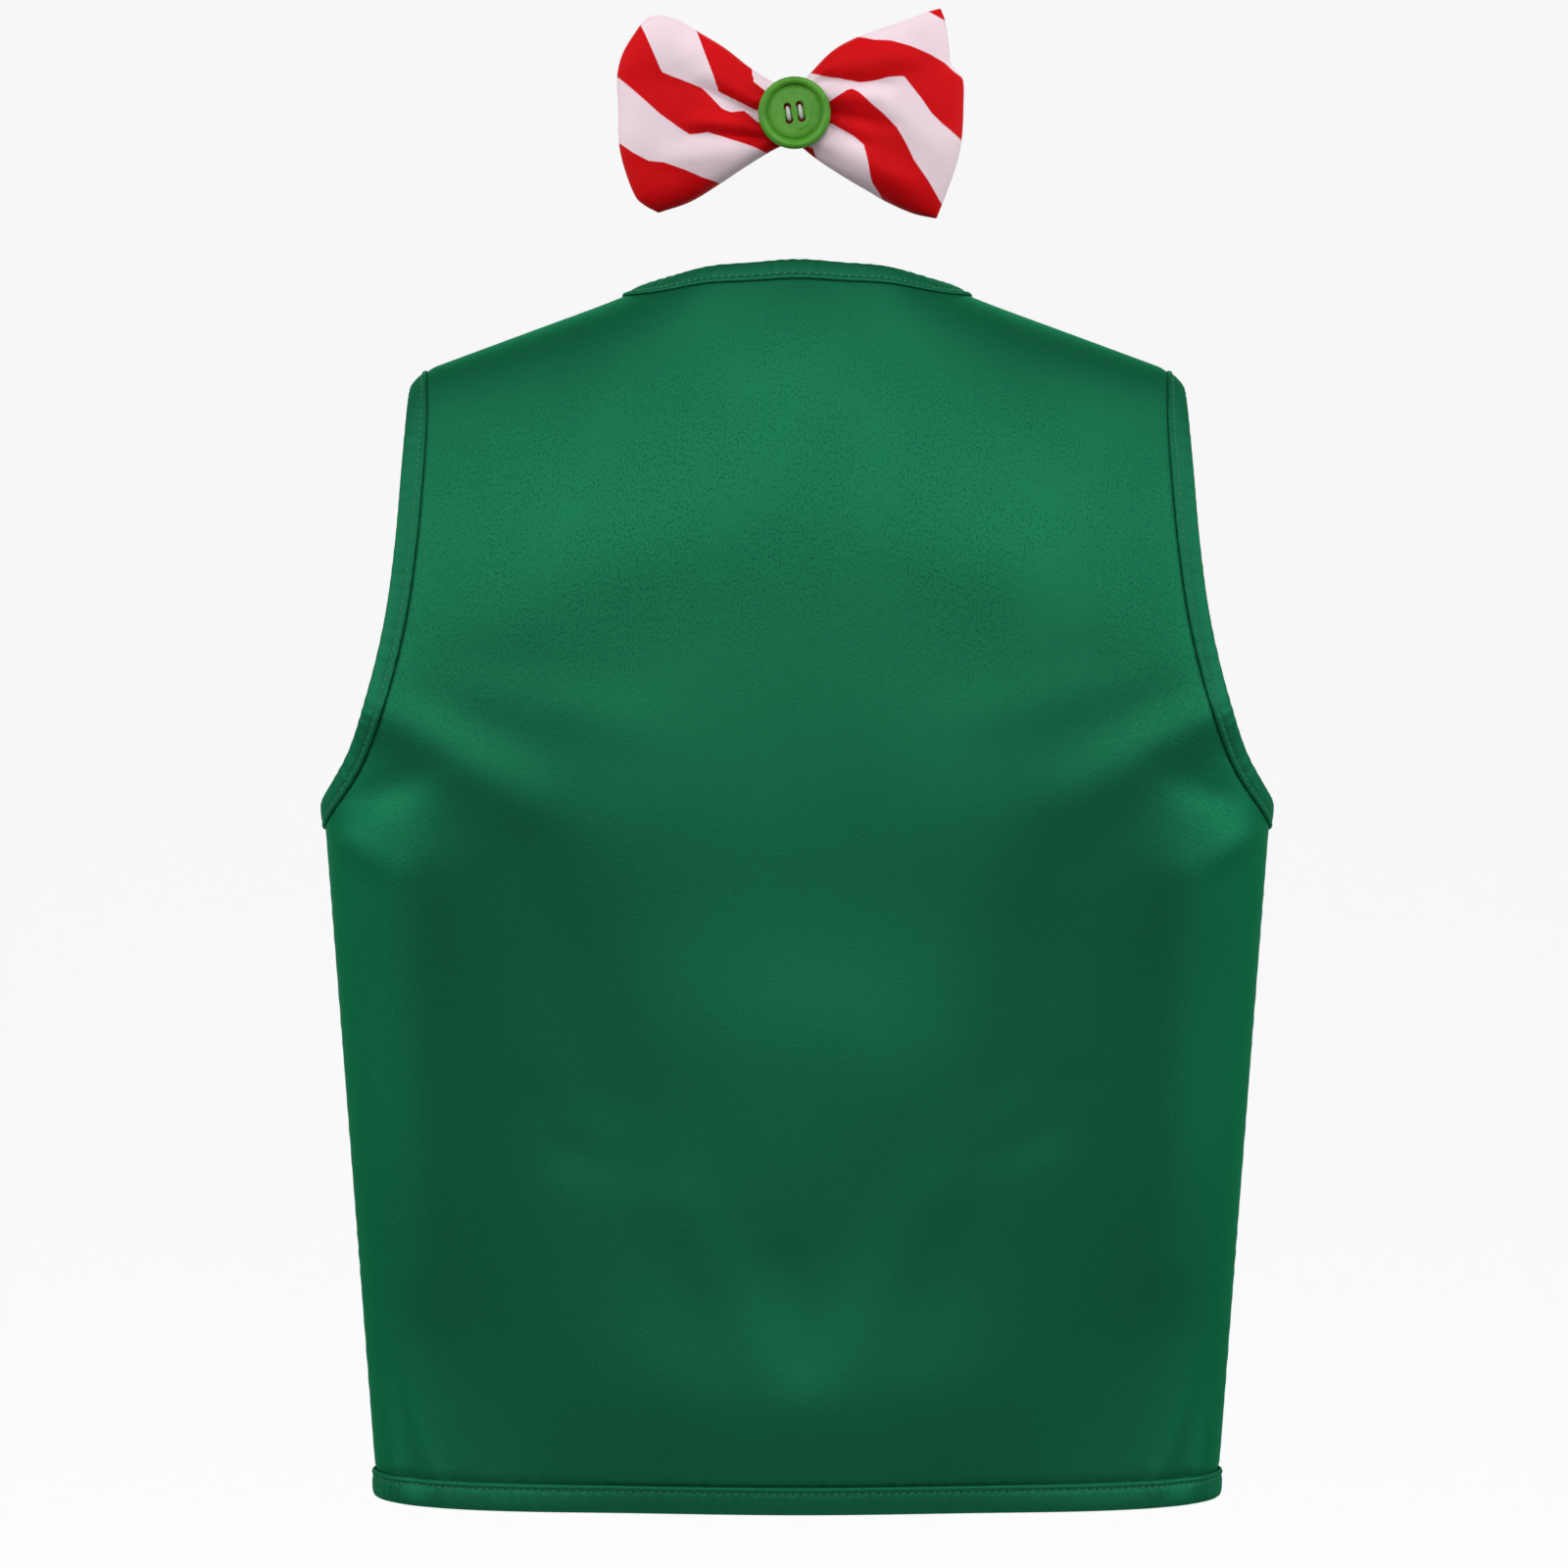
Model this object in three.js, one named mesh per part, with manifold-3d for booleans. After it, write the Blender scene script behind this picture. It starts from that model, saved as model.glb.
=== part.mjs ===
// A child's elf costume: a sleeveless green satin waistcoat, open at the front, and a striped bow tie
// that stands by itself above the neck. Millimetres, +Z up, +X to the right of someone who looks at the
// back, which faces -Y. The origin is the middle of the shoulder line, where the wearer holds it up.

import * as THREE from 'three';
import { mergeVertices } from 'three/addons/utils/BufferGeometryUtils.js';
import Module from 'manifold-3d';

// Cloth and bindings
const clothWall = 1.0;
const bindingWall = 1.0;
const seamGap = 0.3;
const hemWidth = 8;
const armholeWidth = 7.5;
const neckWidth = 7;

// The filled-out body shape that the cloth hangs on
const squareness = 0.03;
const chestHalfWidth = 172;
const underarmHeight = -188;
const sideDepth = 80;
const hemHeight = -436.5;
const hemHalfWidth = 152.8;
const shoulderDrop = 110;
const shoulderSlope = 0.372;
const shoulderSeamForward = 8;
const neckHalfWidth = 56.5;
const neckBackFall = 46;
const neckSetBack = 31;
const neckSetBackReach = 78;
const napeRounding = 16;
const collarLift = 2.2;
const collarLiftAt = 32;
const collarLiftSpread = 15;
const tipStart = 131;
const tipRounding = 0.07;
const tipFade = 60;
const tipInset = 0.4;

// Front edges, from the shoulder down the neck to where the fronts meet, then straight to the hem
const frontEdgeHalfGap = 3.3;
const frontMeetHeight = -172;
const frontArmholeScoop = 6;
const neckCornerSoftness = 0.04;

// Depth of the shape from its middle plane to the cloth, at each height
const depthRows = [
  { height: 30, back: 77, front: 74 },
  { height: -50, back: 79, front: 78 },
  { height: -110, back: 82, front: 82 },
  { height: -190, back: 80, front: 85 },
  { height: -270, back: 75, front: 85 },
  { height: -350, back: 73, front: 81 },
  { height: -450, back: 75, front: 77 },
];

// The armhole's cut edge, as half of the back's width at each height
const armholeRows = [
  { height: -45, across: 139.4 },
  { height: -67, across: 140.5 },
  { height: -95, across: 142.4 },
  { height: -123, across: 146.2 },
  { height: -150, across: 152.8 },
  { height: -168, across: 159.4 },
  { height: -179, across: 166.0 },
  { height: -185.5, across: 170.7 },
];

// Cells of the panels' grids
const sideCells = 10;
const armholeCells = 13;
const neckCells = 7;
const shoulderCells = 6;
const cornerCell = 10;
const cornerShare = 0.08;

// Bow tie, placed by the middle of its button
const bowCentre = new THREE.Vector3(-1, 0, 64.5);
const bowWall = 1.2;
const wrapHalfWidth = 6.3;
const wrapHalfHeight = 11.4;
const wrapHalfDepth = 5.4;
const wrapWall = 1.2;
const wrapRoundness = 0.62;
const buttonRadius = 13.2;
const buttonThickness = 3.6;
const buttonHoleRadius = 1.1;
const buttonHoleAcross = 2.25;
const buttonHoleUp = 2.5;
const threadRadius = 0.7;

// Each wing from the knot out: top and bottom edge, half of its depth, and how strongly its folds stand
const leftWingRows = [
  { out: 0, top: 9.0, bottom: -9.0, depth: 3.0, fold: 0.2 },
  { out: 7.4, top: 9.6, bottom: -9.6, depth: 3.2, fold: 0.4 },
  { out: 11, top: 13.6, bottom: -14.0, depth: 4.0, fold: 0.8 },
  { out: 14, top: 15.6, bottom: -16.2, depth: 5.0, fold: 1.3 },
  { out: 18, top: 18.2, bottom: -19.0, depth: 7.2, fold: 2.1 },
  { out: 26, top: 24.2, bottom: -24.2, depth: 9.5, fold: 2.4 },
  { out: 36, top: 30.4, bottom: -30.4, depth: 10.0, fold: 1.9 },
  { out: 45, top: 34.6, bottom: -34.2, depth: 8.2, fold: 1.2 },
  { out: 50, top: 35.4, bottom: -35.2, depth: 5.6, fold: 0.6 },
  { out: 53.2, top: 34.8, bottom: -34.6, depth: 1.5, fold: 0.0 },
];
const rightWingRows = [
  { out: 0, top: 9.0, bottom: -9.0, depth: 3.0, fold: 0.2 },
  { out: 7.4, top: 9.6, bottom: -9.6, depth: 3.2, fold: 0.4 },
  { out: 11, top: 17.0, bottom: -16.4, depth: 4.0, fold: 0.8 },
  { out: 14, top: 20.6, bottom: -18.8, depth: 5.0, fold: 1.3 },
  { out: 18, top: 24.8, bottom: -21.8, depth: 7.2, fold: 2.1 },
  { out: 26, top: 29.0, bottom: -27.0, depth: 9.5, fold: 2.4 },
  { out: 36, top: 32.6, bottom: -32.2, depth: 10.0, fold: 1.9 },
  { out: 45, top: 35.8, bottom: -35.8, depth: 8.2, fold: 1.2 },
  { out: 50, top: 37.4, bottom: -36.8, depth: 5.6, fold: 0.6 },
  { out: 53.2, top: 37.8, bottom: -37.0, depth: 1.5, fold: 0.0 },
];
const leftWingBulge = 11;
const rightWingBulge = 8;
const bowStations = [0, 4.5, 7.4, 10.5, 15, 21, 28, 35, 42, 48, 51.6];
const bowCellsUp = 10;
const bowFoldsPerHeight = 3.1;
const bowEdgeFlatness = 0.35;

const satin = { color: 0x1f7a52, roughness: 0.5, metalness: 0 };
const satinBinding = { color: 0x237350, roughness: 0.5, metalness: 0 };
const stripedCloth = { color: 0xd66a70, roughness: 0.75, metalness: 0 };
const greenPlastic = { color: 0x4f9a35, roughness: 0.35, metalness: 0 };
const greyThread = { color: 0x9a9da0, roughness: 0.8, metalness: 0 };

const costume = new THREE.Group();

function addPiece(name, geometry, look) {
  const piece = new THREE.Mesh(geometry, new THREE.MeshStandardMaterial(look));
  piece.name = name;
  costume.add(piece);
  return piece;
}

// Reads one named column of a table at a value of its key column, with a smooth curve through the rows
function readRows(rows, key, column, value) {
  const ordered = rows[0][key] < rows[rows.length - 1][key] ? rows : [...rows].reverse();
  const last = ordered.length - 1;
  const clamped = Math.min(Math.max(value, ordered[0][key]), ordered[last][key]);
  let k = 0;
  while (k < last - 1 && clamped > ordered[k + 1][key]) k += 1;
  const slopeAt = (i) => {
    const before = ordered[Math.max(i - 1, 0)];
    const after = ordered[Math.min(i + 1, last)];
    return (after[column] - before[column]) / (after[key] - before[key]);
  };
  const width = ordered[k + 1][key] - ordered[k][key];
  const s = (clamped - ordered[k][key]) / width;
  const start = ordered[k][column] * (1 + 2 * s) * (1 - s) * (1 - s);
  const end = ordered[k + 1][column] * s * s * (3 - 2 * s);
  const tangents = slopeAt(k) * s * (1 - s) * (1 - s) - slopeAt(k + 1) * s * s * (1 - s);
  return start + end + tangents * width;
}

// The body shape. A place on it is a turn, 0 at the middle of the back or front and a quarter circle at
// the side, and a fall, the way down the cloth from the shoulder ridge. A fall below zero has gone over
// the ridge to the other side. The side is -1 for the back and 1 for the front.
function acrossShare(turn) {
  return (Math.sin(turn) + squareness * Math.sin(3 * turn)) / (1 - squareness);
}

function depthShare(turn) {
  return (Math.cos(turn) - squareness * Math.cos(3 * turn)) / (1 - squareness);
}

function bodyHalfWidth(height) {
  const below = Math.max(underarmHeight - height, 0);
  return chestHalfWidth - below * (chestHalfWidth - hemHalfWidth) / (underarmHeight - hemHeight);
}

function ridgeHeight(x) {
  const rounded = Math.hypot(x, napeRounding) - Math.hypot(neckHalfWidth, napeRounding);
  const lift = collarLift * Math.exp(-(((Math.abs(x) - collarLiftAt) / collarLiftSpread) ** 2));
  return lift - shoulderSlope * rounded;
}

function ridgeDepth(x) {
  const inside = Math.max(1 - (x / neckSetBackReach) ** 2, 0);
  return -neckSetBack * inside * inside;
}

function heightAt(turn, fall) {
  const x = chestHalfWidth * acrossShare(turn);
  const bend = Math.min(fall / shoulderDrop, Math.PI / 2);
  const straight = Math.max(fall - shoulderDrop * Math.PI / 2, 0);
  const tip = tipRounding * Math.max(Math.abs(x) - tipStart, 0) ** 2 * Math.exp(-((fall / tipFade) ** 2));
  return ridgeHeight(x) - tip - shoulderDrop * (1 - Math.cos(bend)) - straight;
}

function bodyPoint(side, [turn, fall]) {
  if (fall < 0) return bodyPoint(-side, [turn, -fall]);
  const height = heightAt(turn, fall);
  const bend = Math.min(fall / shoulderDrop, Math.PI / 2);
  const x = bodyHalfWidth(height) * acrossShare(turn);
  const depth = readRows(depthRows, 'height', side < 0 ? 'back' : 'front', height);
  const ridge = ridgeDepth(x);
  const y = ridge + (side * depth * depthShare(turn) - ridge) * Math.sin(bend);
  return new THREE.Vector3(x, y, height);
}

// How the point moves for a small step in turn and in fall
function bodySteps(side, [turn, fall]) {
  const step = 0.0005;
  const byTurn = bodyPoint(side, [turn + step, fall]).sub(bodyPoint(side, [turn - step, fall]));
  const reach = step * 200;
  const byFall = bodyPoint(side, [turn, fall + reach]).sub(bodyPoint(side, [turn, fall - reach]));
  return { byTurn: byTurn.divideScalar(2 * step), byFall: byFall.divideScalar(2 * reach) };
}

function bodyNormal(side, place) {
  const { byTurn, byFall } = bodySteps(side, place);
  const normal = new THREE.Vector3().crossVectors(byFall, byTurn).normalize();
  return side < 0 ? normal : normal.negate();
}

// Moves a place over the surface by a vector that lies in it
function shiftPlace(side, place, vector) {
  const { byTurn, byFall } = bodySteps(side, place);
  const uu = byTurn.dot(byTurn);
  const vv = byFall.dot(byFall);
  const uv = byTurn.dot(byFall);
  const ut = byTurn.dot(vector);
  const vt = byFall.dot(vector);
  const scale = uu * vv - uv * uv;
  return [place[0] + (ut * vv - vt * uv) / scale, place[1] + (vt * uu - ut * uv) / scale];
}

function turnAt(across) {
  let low = 0;
  let high = Math.PI / 2;
  for (let k = 0; k < 40; k += 1) {
    const middle = (low + high) / 2;
    if (acrossShare(middle) * chestHalfWidth < across) low = middle;
    else high = middle;
  }
  return (low + high) / 2;
}

function fallAt(turn, height) {
  let low = 0;
  let high = 700;
  for (let k = 0; k < 50; k += 1) {
    const middle = (low + high) / 2;
    if (heightAt(turn, middle) > height) low = middle;
    else high = middle;
  }
  return (low + high) / 2;
}

// Spreads places along a route, a function of 0 to 1. The first and last cell can have a length of their
// own, and the others share what is left.
function spreadPlaces(side, route, cells, firstLength, lastLength) {
  const samples = 400;
  const lengths = [0];
  let before = bodyPoint(side, route(0));
  for (let k = 1; k <= samples; k += 1) {
    const here = bodyPoint(side, route(k / samples));
    lengths.push(lengths[k - 1] + here.distanceTo(before));
    before = here;
  }
  const total = lengths[samples];
  const own = (firstLength ? 1 : 0) + (lastLength ? 1 : 0);
  const shared = (total - (firstLength || 0) - (lastLength || 0)) / (cells - own);
  const places = [];
  for (let k = 0; k <= cells; k += 1) {
    let wanted = firstLength ? firstLength + (k - 1) * shared : k * shared;
    if (k === 0) wanted = 0;
    if (k === cells) wanted = total;
    let n = 1;
    while (n < samples && lengths[n] < wanted) n += 1;
    const part = (wanted - lengths[n - 1]) / (lengths[n] - lengths[n - 1]);
    places.push(route((n - 1 + Math.min(Math.max(part, 0), 1)) / samples));
  }
  return places;
}

// Offsets one place of an outline inwards by a distance. The inner side lies left of the outline's run
// where leftward is 1, and right of it where it is -1. At a corner both directions are added.
function insetPlace(side, outline, k, distance, leftward) {
  const here = bodyPoint(side, outline[k]);
  const normal = bodyNormal(side, outline[k]);
  const runs = [];
  if (k > 0) runs.push(here.clone().sub(bodyPoint(side, outline[k - 1])));
  if (k < outline.length - 1) runs.push(bodyPoint(side, outline[k + 1]).sub(here));
  const directions = runs.map((run) => (
    new THREE.Vector3().crossVectors(normal, run).setLength(leftward)
  ));
  const cornered = directions.length === 2 && directions[0].dot(directions[1]) < 0.6;
  const shift = new THREE.Vector3();
  directions.forEach((direction) => shift.add(direction));
  if (cornered) shift.multiplyScalar(distance);
  else shift.setLength(distance);
  return shiftPlace(side, outline[k], shift);
}

// The outlines of half a panel, each a list of places: the hem and the top run from the middle to the
// side, the middle line and the outer line run from the hem up
function armholeRoute(side, seamFall) {
  const scoop = side < 0 ? 0 : frontArmholeScoop;
  const top = armholeRows[0].height;
  const span = top - underarmHeight;
  const places = armholeRows.map(({ height, across }) => {
    const part = (top - height) / span;
    const turn = turnAt(across - scoop * Math.sin(Math.PI * part) ** 2);
    return new THREE.Vector3(turn * chestHalfWidth, fallAt(turn, height), 0);
  });
  const tipTurn = turnAt(armholeRows[0].across - tipInset);
  places.unshift(new THREE.Vector3(tipTurn * chestHalfWidth, seamFall, 0));
  const sideTurn = Math.PI / 2 - seamGap / 2 / (sideDepth * (1 + 3 * squareness) / (1 - squareness));
  places.push(new THREE.Vector3(sideTurn * chestHalfWidth, fallAt(sideTurn, underarmHeight), 0));
  const curve = new THREE.CatmullRomCurve3(places.reverse(), false, 'centripetal');
  return (u) => {
    const point = curve.getPoint(u);
    return [point.x / chestHalfWidth, point.y];
  };
}

function halfPanel(side) {
  const isFront = side > 0;
  const seamFall = isFront ? shoulderSeamForward + seamGap / 2 : seamGap / 2 - shoulderSeamForward;
  const armhole = armholeRoute(side, seamFall);
  const [sideTurn, underarmFall] = armhole(0);
  const [tipTurn] = armhole(1);
  const neckTurn = turnAt(neckHalfWidth);

  const hemFallAt = (turn) => fallAt(turn, hemHeight);
  const edgeTurn = isFront ? frontEdgeHalfGap / chestHalfWidth : 0;
  const columns = neckCells + shoulderCells;
  const hemRoute = (u) => {
    const turn = edgeTurn + (sideTurn - edgeTurn) * u;
    return [turn, hemFallAt(turn)];
  };
  const hem = spreadPlaces(side, hemRoute, columns, isFront ? neckWidth : 0, armholeWidth);

  const hemSideFall = hemFallAt(sideTurn);
  const sideSeam = (u) => [sideTurn, hemSideFall + (underarmFall - hemSideFall) * u];
  const outer = spreadPlaces(side, sideSeam, sideCells, hemWidth, 0);
  outer.push(...spreadPlaces(side, armhole, armholeCells, 0, neckWidth).slice(1));
  const rows = outer.length - 1;

  const top = [];
  if (!isFront) {
    const neckRoute = (u) => {
      const angle = u * Math.PI / 2;
      const fall = seamFall + (neckBackFall - seamFall) * Math.cos(angle);
      return [turnAt(neckHalfWidth * Math.sin(angle)), fall];
    };
    top.push(...spreadPlaces(side, neckRoute, neckCells, 0, cornerCell).slice(0, -1));
  }
  const shoulderRoute = (u) => [neckTurn + (tipTurn - neckTurn) * u, seamFall];
  const shoulderSpread = isFront ? columns : shoulderCells;
  top.push(...spreadPlaces(side, shoulderRoute, shoulderSpread, isFront ? neckWidth : 0, armholeWidth));

  const meetFall = fallAt(edgeTurn, frontMeetHeight);
  const centreRoute = (u) => {
    const low = hemFallAt(edgeTurn);
    if (!isFront) return [0, low + (neckBackFall - low) * u];
    const fall = low + (seamFall - low) * u;
    const climb = Math.max((meetFall - fall) / (meetFall - seamFall), 0);
    const softened = Math.hypot(climb, neckCornerSoftness) - neckCornerSoftness;
    const reach = Math.hypot(1, neckCornerSoftness) - neckCornerSoftness;
    return [edgeTurn + (neckTurn - edgeTurn) * softened / reach, fall];
  };
  const centre = spreadPlaces(side, centreRoute, rows, hemWidth, neckWidth);

  // The whole grid of places, rows from the hem up, columns from the middle to the side
  const grid = Array.from({ length: rows + 1 }, () => new Array(columns + 1));
  const inLeft = -side;
  for (let j = 0; j <= columns; j += 1) {
    grid[0][j] = hem[j];
    grid[rows][j] = top[j];
  }
  for (let i = 0; i <= rows; i += 1) {
    grid[i][0] = centre[i];
    grid[i][columns] = outer[i];
  }
  for (let j = 1; j < columns; j += 1) {
    grid[1][j] = insetPlace(side, hem, j, hemWidth, inLeft);
    grid[rows - 1][j] = insetPlace(side, top, j, neckWidth, -inLeft);
  }
  for (let i = 1; i < rows; i += 1) {
    if (isFront) grid[i][1] = insetPlace(side, centre, i, neckWidth, -inLeft);
    grid[i][columns - 1] = insetPlace(side, outer, i, armholeWidth, inLeft);
  }
  // Between the bindings the places are blended from the four inner lines
  const first = isFront ? 1 : 0;
  const last = columns - 1;
  const blend = (i, j, axis) => {
    const p = (j - first) / (last - first);
    const q = (i - 1) / (rows - 2);
    const upDown = (1 - q) * grid[1][j][axis] + q * grid[rows - 1][j][axis];
    const leftRight = (1 - p) * grid[i][first][axis] + p * grid[i][last][axis];
    const low = (1 - p) * grid[1][first][axis] + p * grid[1][last][axis];
    const high = (1 - p) * grid[rows - 1][first][axis] + p * grid[rows - 1][last][axis];
    return upDown + leftRight - (1 - q) * low - q * high;
  };
  for (let i = 2; i < rows - 1; i += 1) {
    for (let j = first + 1; j < last; j += 1) {
      grid[i][j] = [blend(i, j, 0), blend(i, j, 1)];
    }
  }
  return { side, grid, rows, columns, hem, top, outer, centre, seamFall };
}

const mirrorPlace = ([turn, fall]) => [-turn, fall];

// Makes a closed body of points and faces, turned so that its faces point out
function makeGeometry(points, faces) {
  const volume = faces.reduce((sum, [a, b, c]) => (
    sum + points[a].dot(new THREE.Vector3().crossVectors(points[b], points[c]))
  ), 0);
  const turned = volume < 0 ? faces.map(([a, b, c]) => [a, c, b]) : faces;
  const geometry = new THREE.BufferGeometry();
  geometry.setAttribute('position', new THREE.Float32BufferAttribute(points.flatMap((p) => [p.x, p.y, p.z]), 3));
  geometry.setIndex(turned.flat());
  return geometry;
}

// The two triangles of a four-cornered face, split from a to c, or from b to d where it leans
function quadFaces(a, b, c, d, leans) {
  return leans ? [[b, c, d], [b, d, a]] : [[a, b, c], [a, c, d]];
}

// A wall of even thickness through a grid of points with their normals, closed all round its edge. The
// faces of the columns before the fold line lean the other way, so that both halves mirror each other.
function wallThrough(points, normals, thickness, foldLine) {
  const rows = points.length;
  const columns = points[0].length;
  const corners = [];
  for (const sign of [1, -1]) {
    for (let i = 0; i < rows; i += 1) {
      for (let j = 0; j < columns; j += 1) {
        corners.push(points[i][j].clone().addScaledVector(normals[i][j], sign * thickness / 2));
      }
    }
  }
  const outerAt = (i, j) => i * columns + j;
  const innerAt = (i, j) => rows * columns + outerAt(i, j);
  const faces = [];
  const addQuad = (a, b, c, d, leans = false) => faces.push(...quadFaces(a, b, c, d, leans));
  for (let i = 0; i < rows - 1; i += 1) {
    for (let j = 0; j < columns - 1; j += 1) {
      const leans = j < foldLine;
      addQuad(outerAt(i, j), outerAt(i, j + 1), outerAt(i + 1, j + 1), outerAt(i + 1, j), leans);
      addQuad(innerAt(i, j), innerAt(i + 1, j), innerAt(i + 1, j + 1), innerAt(i, j + 1), leans);
    }
  }
  for (let j = 0; j < columns - 1; j += 1) {
    addQuad(innerAt(0, j), innerAt(0, j + 1), outerAt(0, j + 1), outerAt(0, j));
    addQuad(outerAt(rows - 1, j), outerAt(rows - 1, j + 1), innerAt(rows - 1, j + 1), innerAt(rows - 1, j));
  }
  for (let i = 0; i < rows - 1; i += 1) {
    addQuad(outerAt(i, 0), outerAt(i + 1, 0), innerAt(i + 1, 0), innerAt(i, 0));
    addQuad(innerAt(i, columns - 1), innerAt(i + 1, columns - 1), outerAt(i + 1, columns - 1), outerAt(i, columns - 1));
  }
  return makeGeometry(corners, faces);
}

// A station of a binding: a point on the cloth's cut edge, one where the binding ends on the cloth, their
// normals, and the way out past the edge
function bindingStation(side, [edgePlace, innerPlace]) {
  const edge = bodyPoint(side, edgePlace);
  const inner = bodyPoint(side, innerPlace);
  return {
    edge,
    edgeNormal: bodyNormal(side, edgePlace),
    inner,
    innerNormal: bodyNormal(side, innerPlace),
    out: edge.clone().sub(inner).normalize(),
  };
}

function mirrorStation(station) {
  const flip = new THREE.Vector3(-1, 1, 1);
  const entries = Object.entries(station).map(([key, vector]) => [key, vector.clone().multiply(flip)]);
  return Object.fromEntries(entries);
}

// Where a bound edge ends at a seam, the binding turns the corner: its last station lies along the seam,
// and just before it one runs to the panel's own inner corner
function turnCorner(stations, seamEnd) {
  const [corner, next] = stations;
  const before = { ...corner, out: seamEnd.out };
  before.edge = corner.edge.clone().lerp(next.edge, cornerShare);
  before.edgeNormal = corner.edgeNormal.clone().lerp(next.edgeNormal, cornerShare).normalize();
  return [seamEnd, before, ...stations.slice(1)];
}

// A binding folded over an edge: a U section carried along its stations. Its faces lean as the cloth's
// do: rises says, for each cell of the run, whether the cloth's cell is split from the inner line up to
// the cut edge.
function bindingAlong(stations, rises) {
  const under = clothWall / 2 + seamGap;
  const over = under + bindingWall;
  const corners = [];
  stations.forEach(({ edge, edgeNormal, inner, innerNormal, out }) => {
    const near = edge.clone().addScaledVector(out, seamGap);
    const far = edge.clone().addScaledVector(out, seamGap + bindingWall);
    const section = [
      inner.clone().addScaledVector(innerNormal, over),
      far.clone().addScaledVector(edgeNormal, over),
      far.clone().addScaledVector(edgeNormal, -over),
      inner.clone().addScaledVector(innerNormal, -over),
      inner.clone().addScaledVector(innerNormal, -under),
      near.clone().addScaledVector(edgeNormal, -under),
      near.clone().addScaledVector(edgeNormal, under),
      inner.clone().addScaledVector(innerNormal, under),
    ];
    corners.push(...section);
  });
  const sides = 8;
  const faces = [];
  const addQuad = (a, b, c, d, leans = false) => faces.push(...quadFaces(a, b, c, d, leans));
  for (let k = 0; k < stations.length - 1; k += 1) {
    for (let n = 0; n < sides; n += 1) {
      const next = (n + 1) % sides;
      const runsOut = n === 0 || n === 4;
      const leans = rises(k) !== runsOut;
      addQuad(k * sides + n, k * sides + next, (k + 1) * sides + next, (k + 1) * sides + n, leans);
    }
  }
  const end = (stations.length - 1) * sides;
  [[0, 7, 6, 1], [1, 6, 5, 2], [2, 5, 4, 3]].forEach(([a, b, c, d]) => {
    addQuad(a, b, c, d);
    addQuad(end + d, end + c, end + b, end + a);
  });
  return makeGeometry(corners, faces);
}

// Moves the first station of a binding along its run, to keep the seam gap to the piece that it meets
function trimStart(stations, distance) {
  const [start, next] = stations;
  const moved = { ...start };
  moved.edge = start.edge.clone().add(next.edge.clone().sub(start.edge).setLength(distance));
  moved.inner = start.inner.clone().add(next.inner.clone().sub(start.inner).setLength(distance));
  return [moved, ...stations.slice(1)];
}

function mirrorGeometry(geometry) {
  const mirrored = geometry.clone().scale(-1, 1, 1);
  const index = mirrored.getIndex();
  for (let k = 0; k < index.count; k += 3) {
    const second = index.getX(k + 1);
    index.setX(k + 1, index.getX(k + 2));
    index.setX(k + 2, second);
  }
  return mirrored;
}

// Waistcoat back, cut on the fold
const back = halfPanel(-1);
const backGrid = back.grid.map((row) => [...row.slice(1).reverse().map(mirrorPlace), ...row]);
const backPoints = backGrid.map((row) => row.map((place) => bodyPoint(-1, place)));
const backNormals = backGrid.map((row) => row.map((place) => bodyNormal(-1, place)));
addPiece('back_panel', wallThrough(backPoints, backNormals, clothWall, back.columns), satin);

// Waistcoat fronts, open down the middle
const front = halfPanel(1);
const frontPoints = front.grid.map((row) => row.map((place) => bodyPoint(1, place)));
const frontNormals = front.grid.map((row) => row.map((place) => bodyNormal(1, place)));
const frontRight = wallThrough(frontPoints, frontNormals, clothWall, 0);
addPiece('front_panel_right', frontRight, satin);
addPiece('front_panel_left', mirrorGeometry(frontRight), satin);

// A station at a panel's corner that lies along the seam there
function seamStation(side, corner, alongSeam, width) {
  const reach = bodyPoint(side, alongSeam).sub(bodyPoint(side, corner)).setLength(width);
  return bindingStation(side, [corner, shiftPlace(side, corner, reach)]);
}

// Neck binding, across the back neck from shoulder seam to shoulder seam
const neckStations = back.top.slice(0, neckCells + 1)
  .map((edge, j) => bindingStation(-1, [edge, back.grid[back.rows - 1][j]]))
  .reverse();
const neckSeamEnd = seamStation(-1, back.top[neckCells], back.top[neckCells + 1], neckWidth);
const halfNeck = turnCorner(neckStations, neckSeamEnd);
const wholeNeck = [...halfNeck.map(mirrorStation), ...halfNeck.slice(0, -1).reverse()];
const neckBinding = bindingAlong(wholeNeck, (k) => k >= halfNeck.length - 1);
addPiece('neck_binding', neckBinding, satinBinding);

// Front bindings, from just above the hem binding up each front edge and the neck to the shoulder seam
const frontStations = front.centre.map((edge, i) => bindingStation(1, [edge, front.grid[i][1]])).slice(1);
const frontBinding = bindingAlong(trimStart(frontStations, seamGap), () => false);
addPiece('front_binding_right', frontBinding, satinBinding);
addPiece('front_binding_left', mirrorGeometry(frontBinding), satinBinding);

// Armhole bindings, a back half and a front half that meet at the shoulder and side seams
function armholeBinding({ side, outer, grid, columns }) {
  const stations = outer.map((edge, i) => bindingStation(side, [edge, grid[i][columns - 1]]));
  const seamEnd = seamStation(side, outer[sideCells], outer[sideCells - 1], armholeWidth);
  return bindingAlong(turnCorner(stations.slice(sideCells), seamEnd), (k) => k > 0);
}

const armholeBack = armholeBinding(back);
const armholeFront = armholeBinding(front);
addPiece('armhole_binding_back_right', armholeBack, satinBinding);
addPiece('armhole_binding_back_left', mirrorGeometry(armholeBack), satinBinding);
addPiece('armhole_binding_front_right', armholeFront, satinBinding);
addPiece('armhole_binding_front_left', mirrorGeometry(armholeFront), satinBinding);

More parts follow.
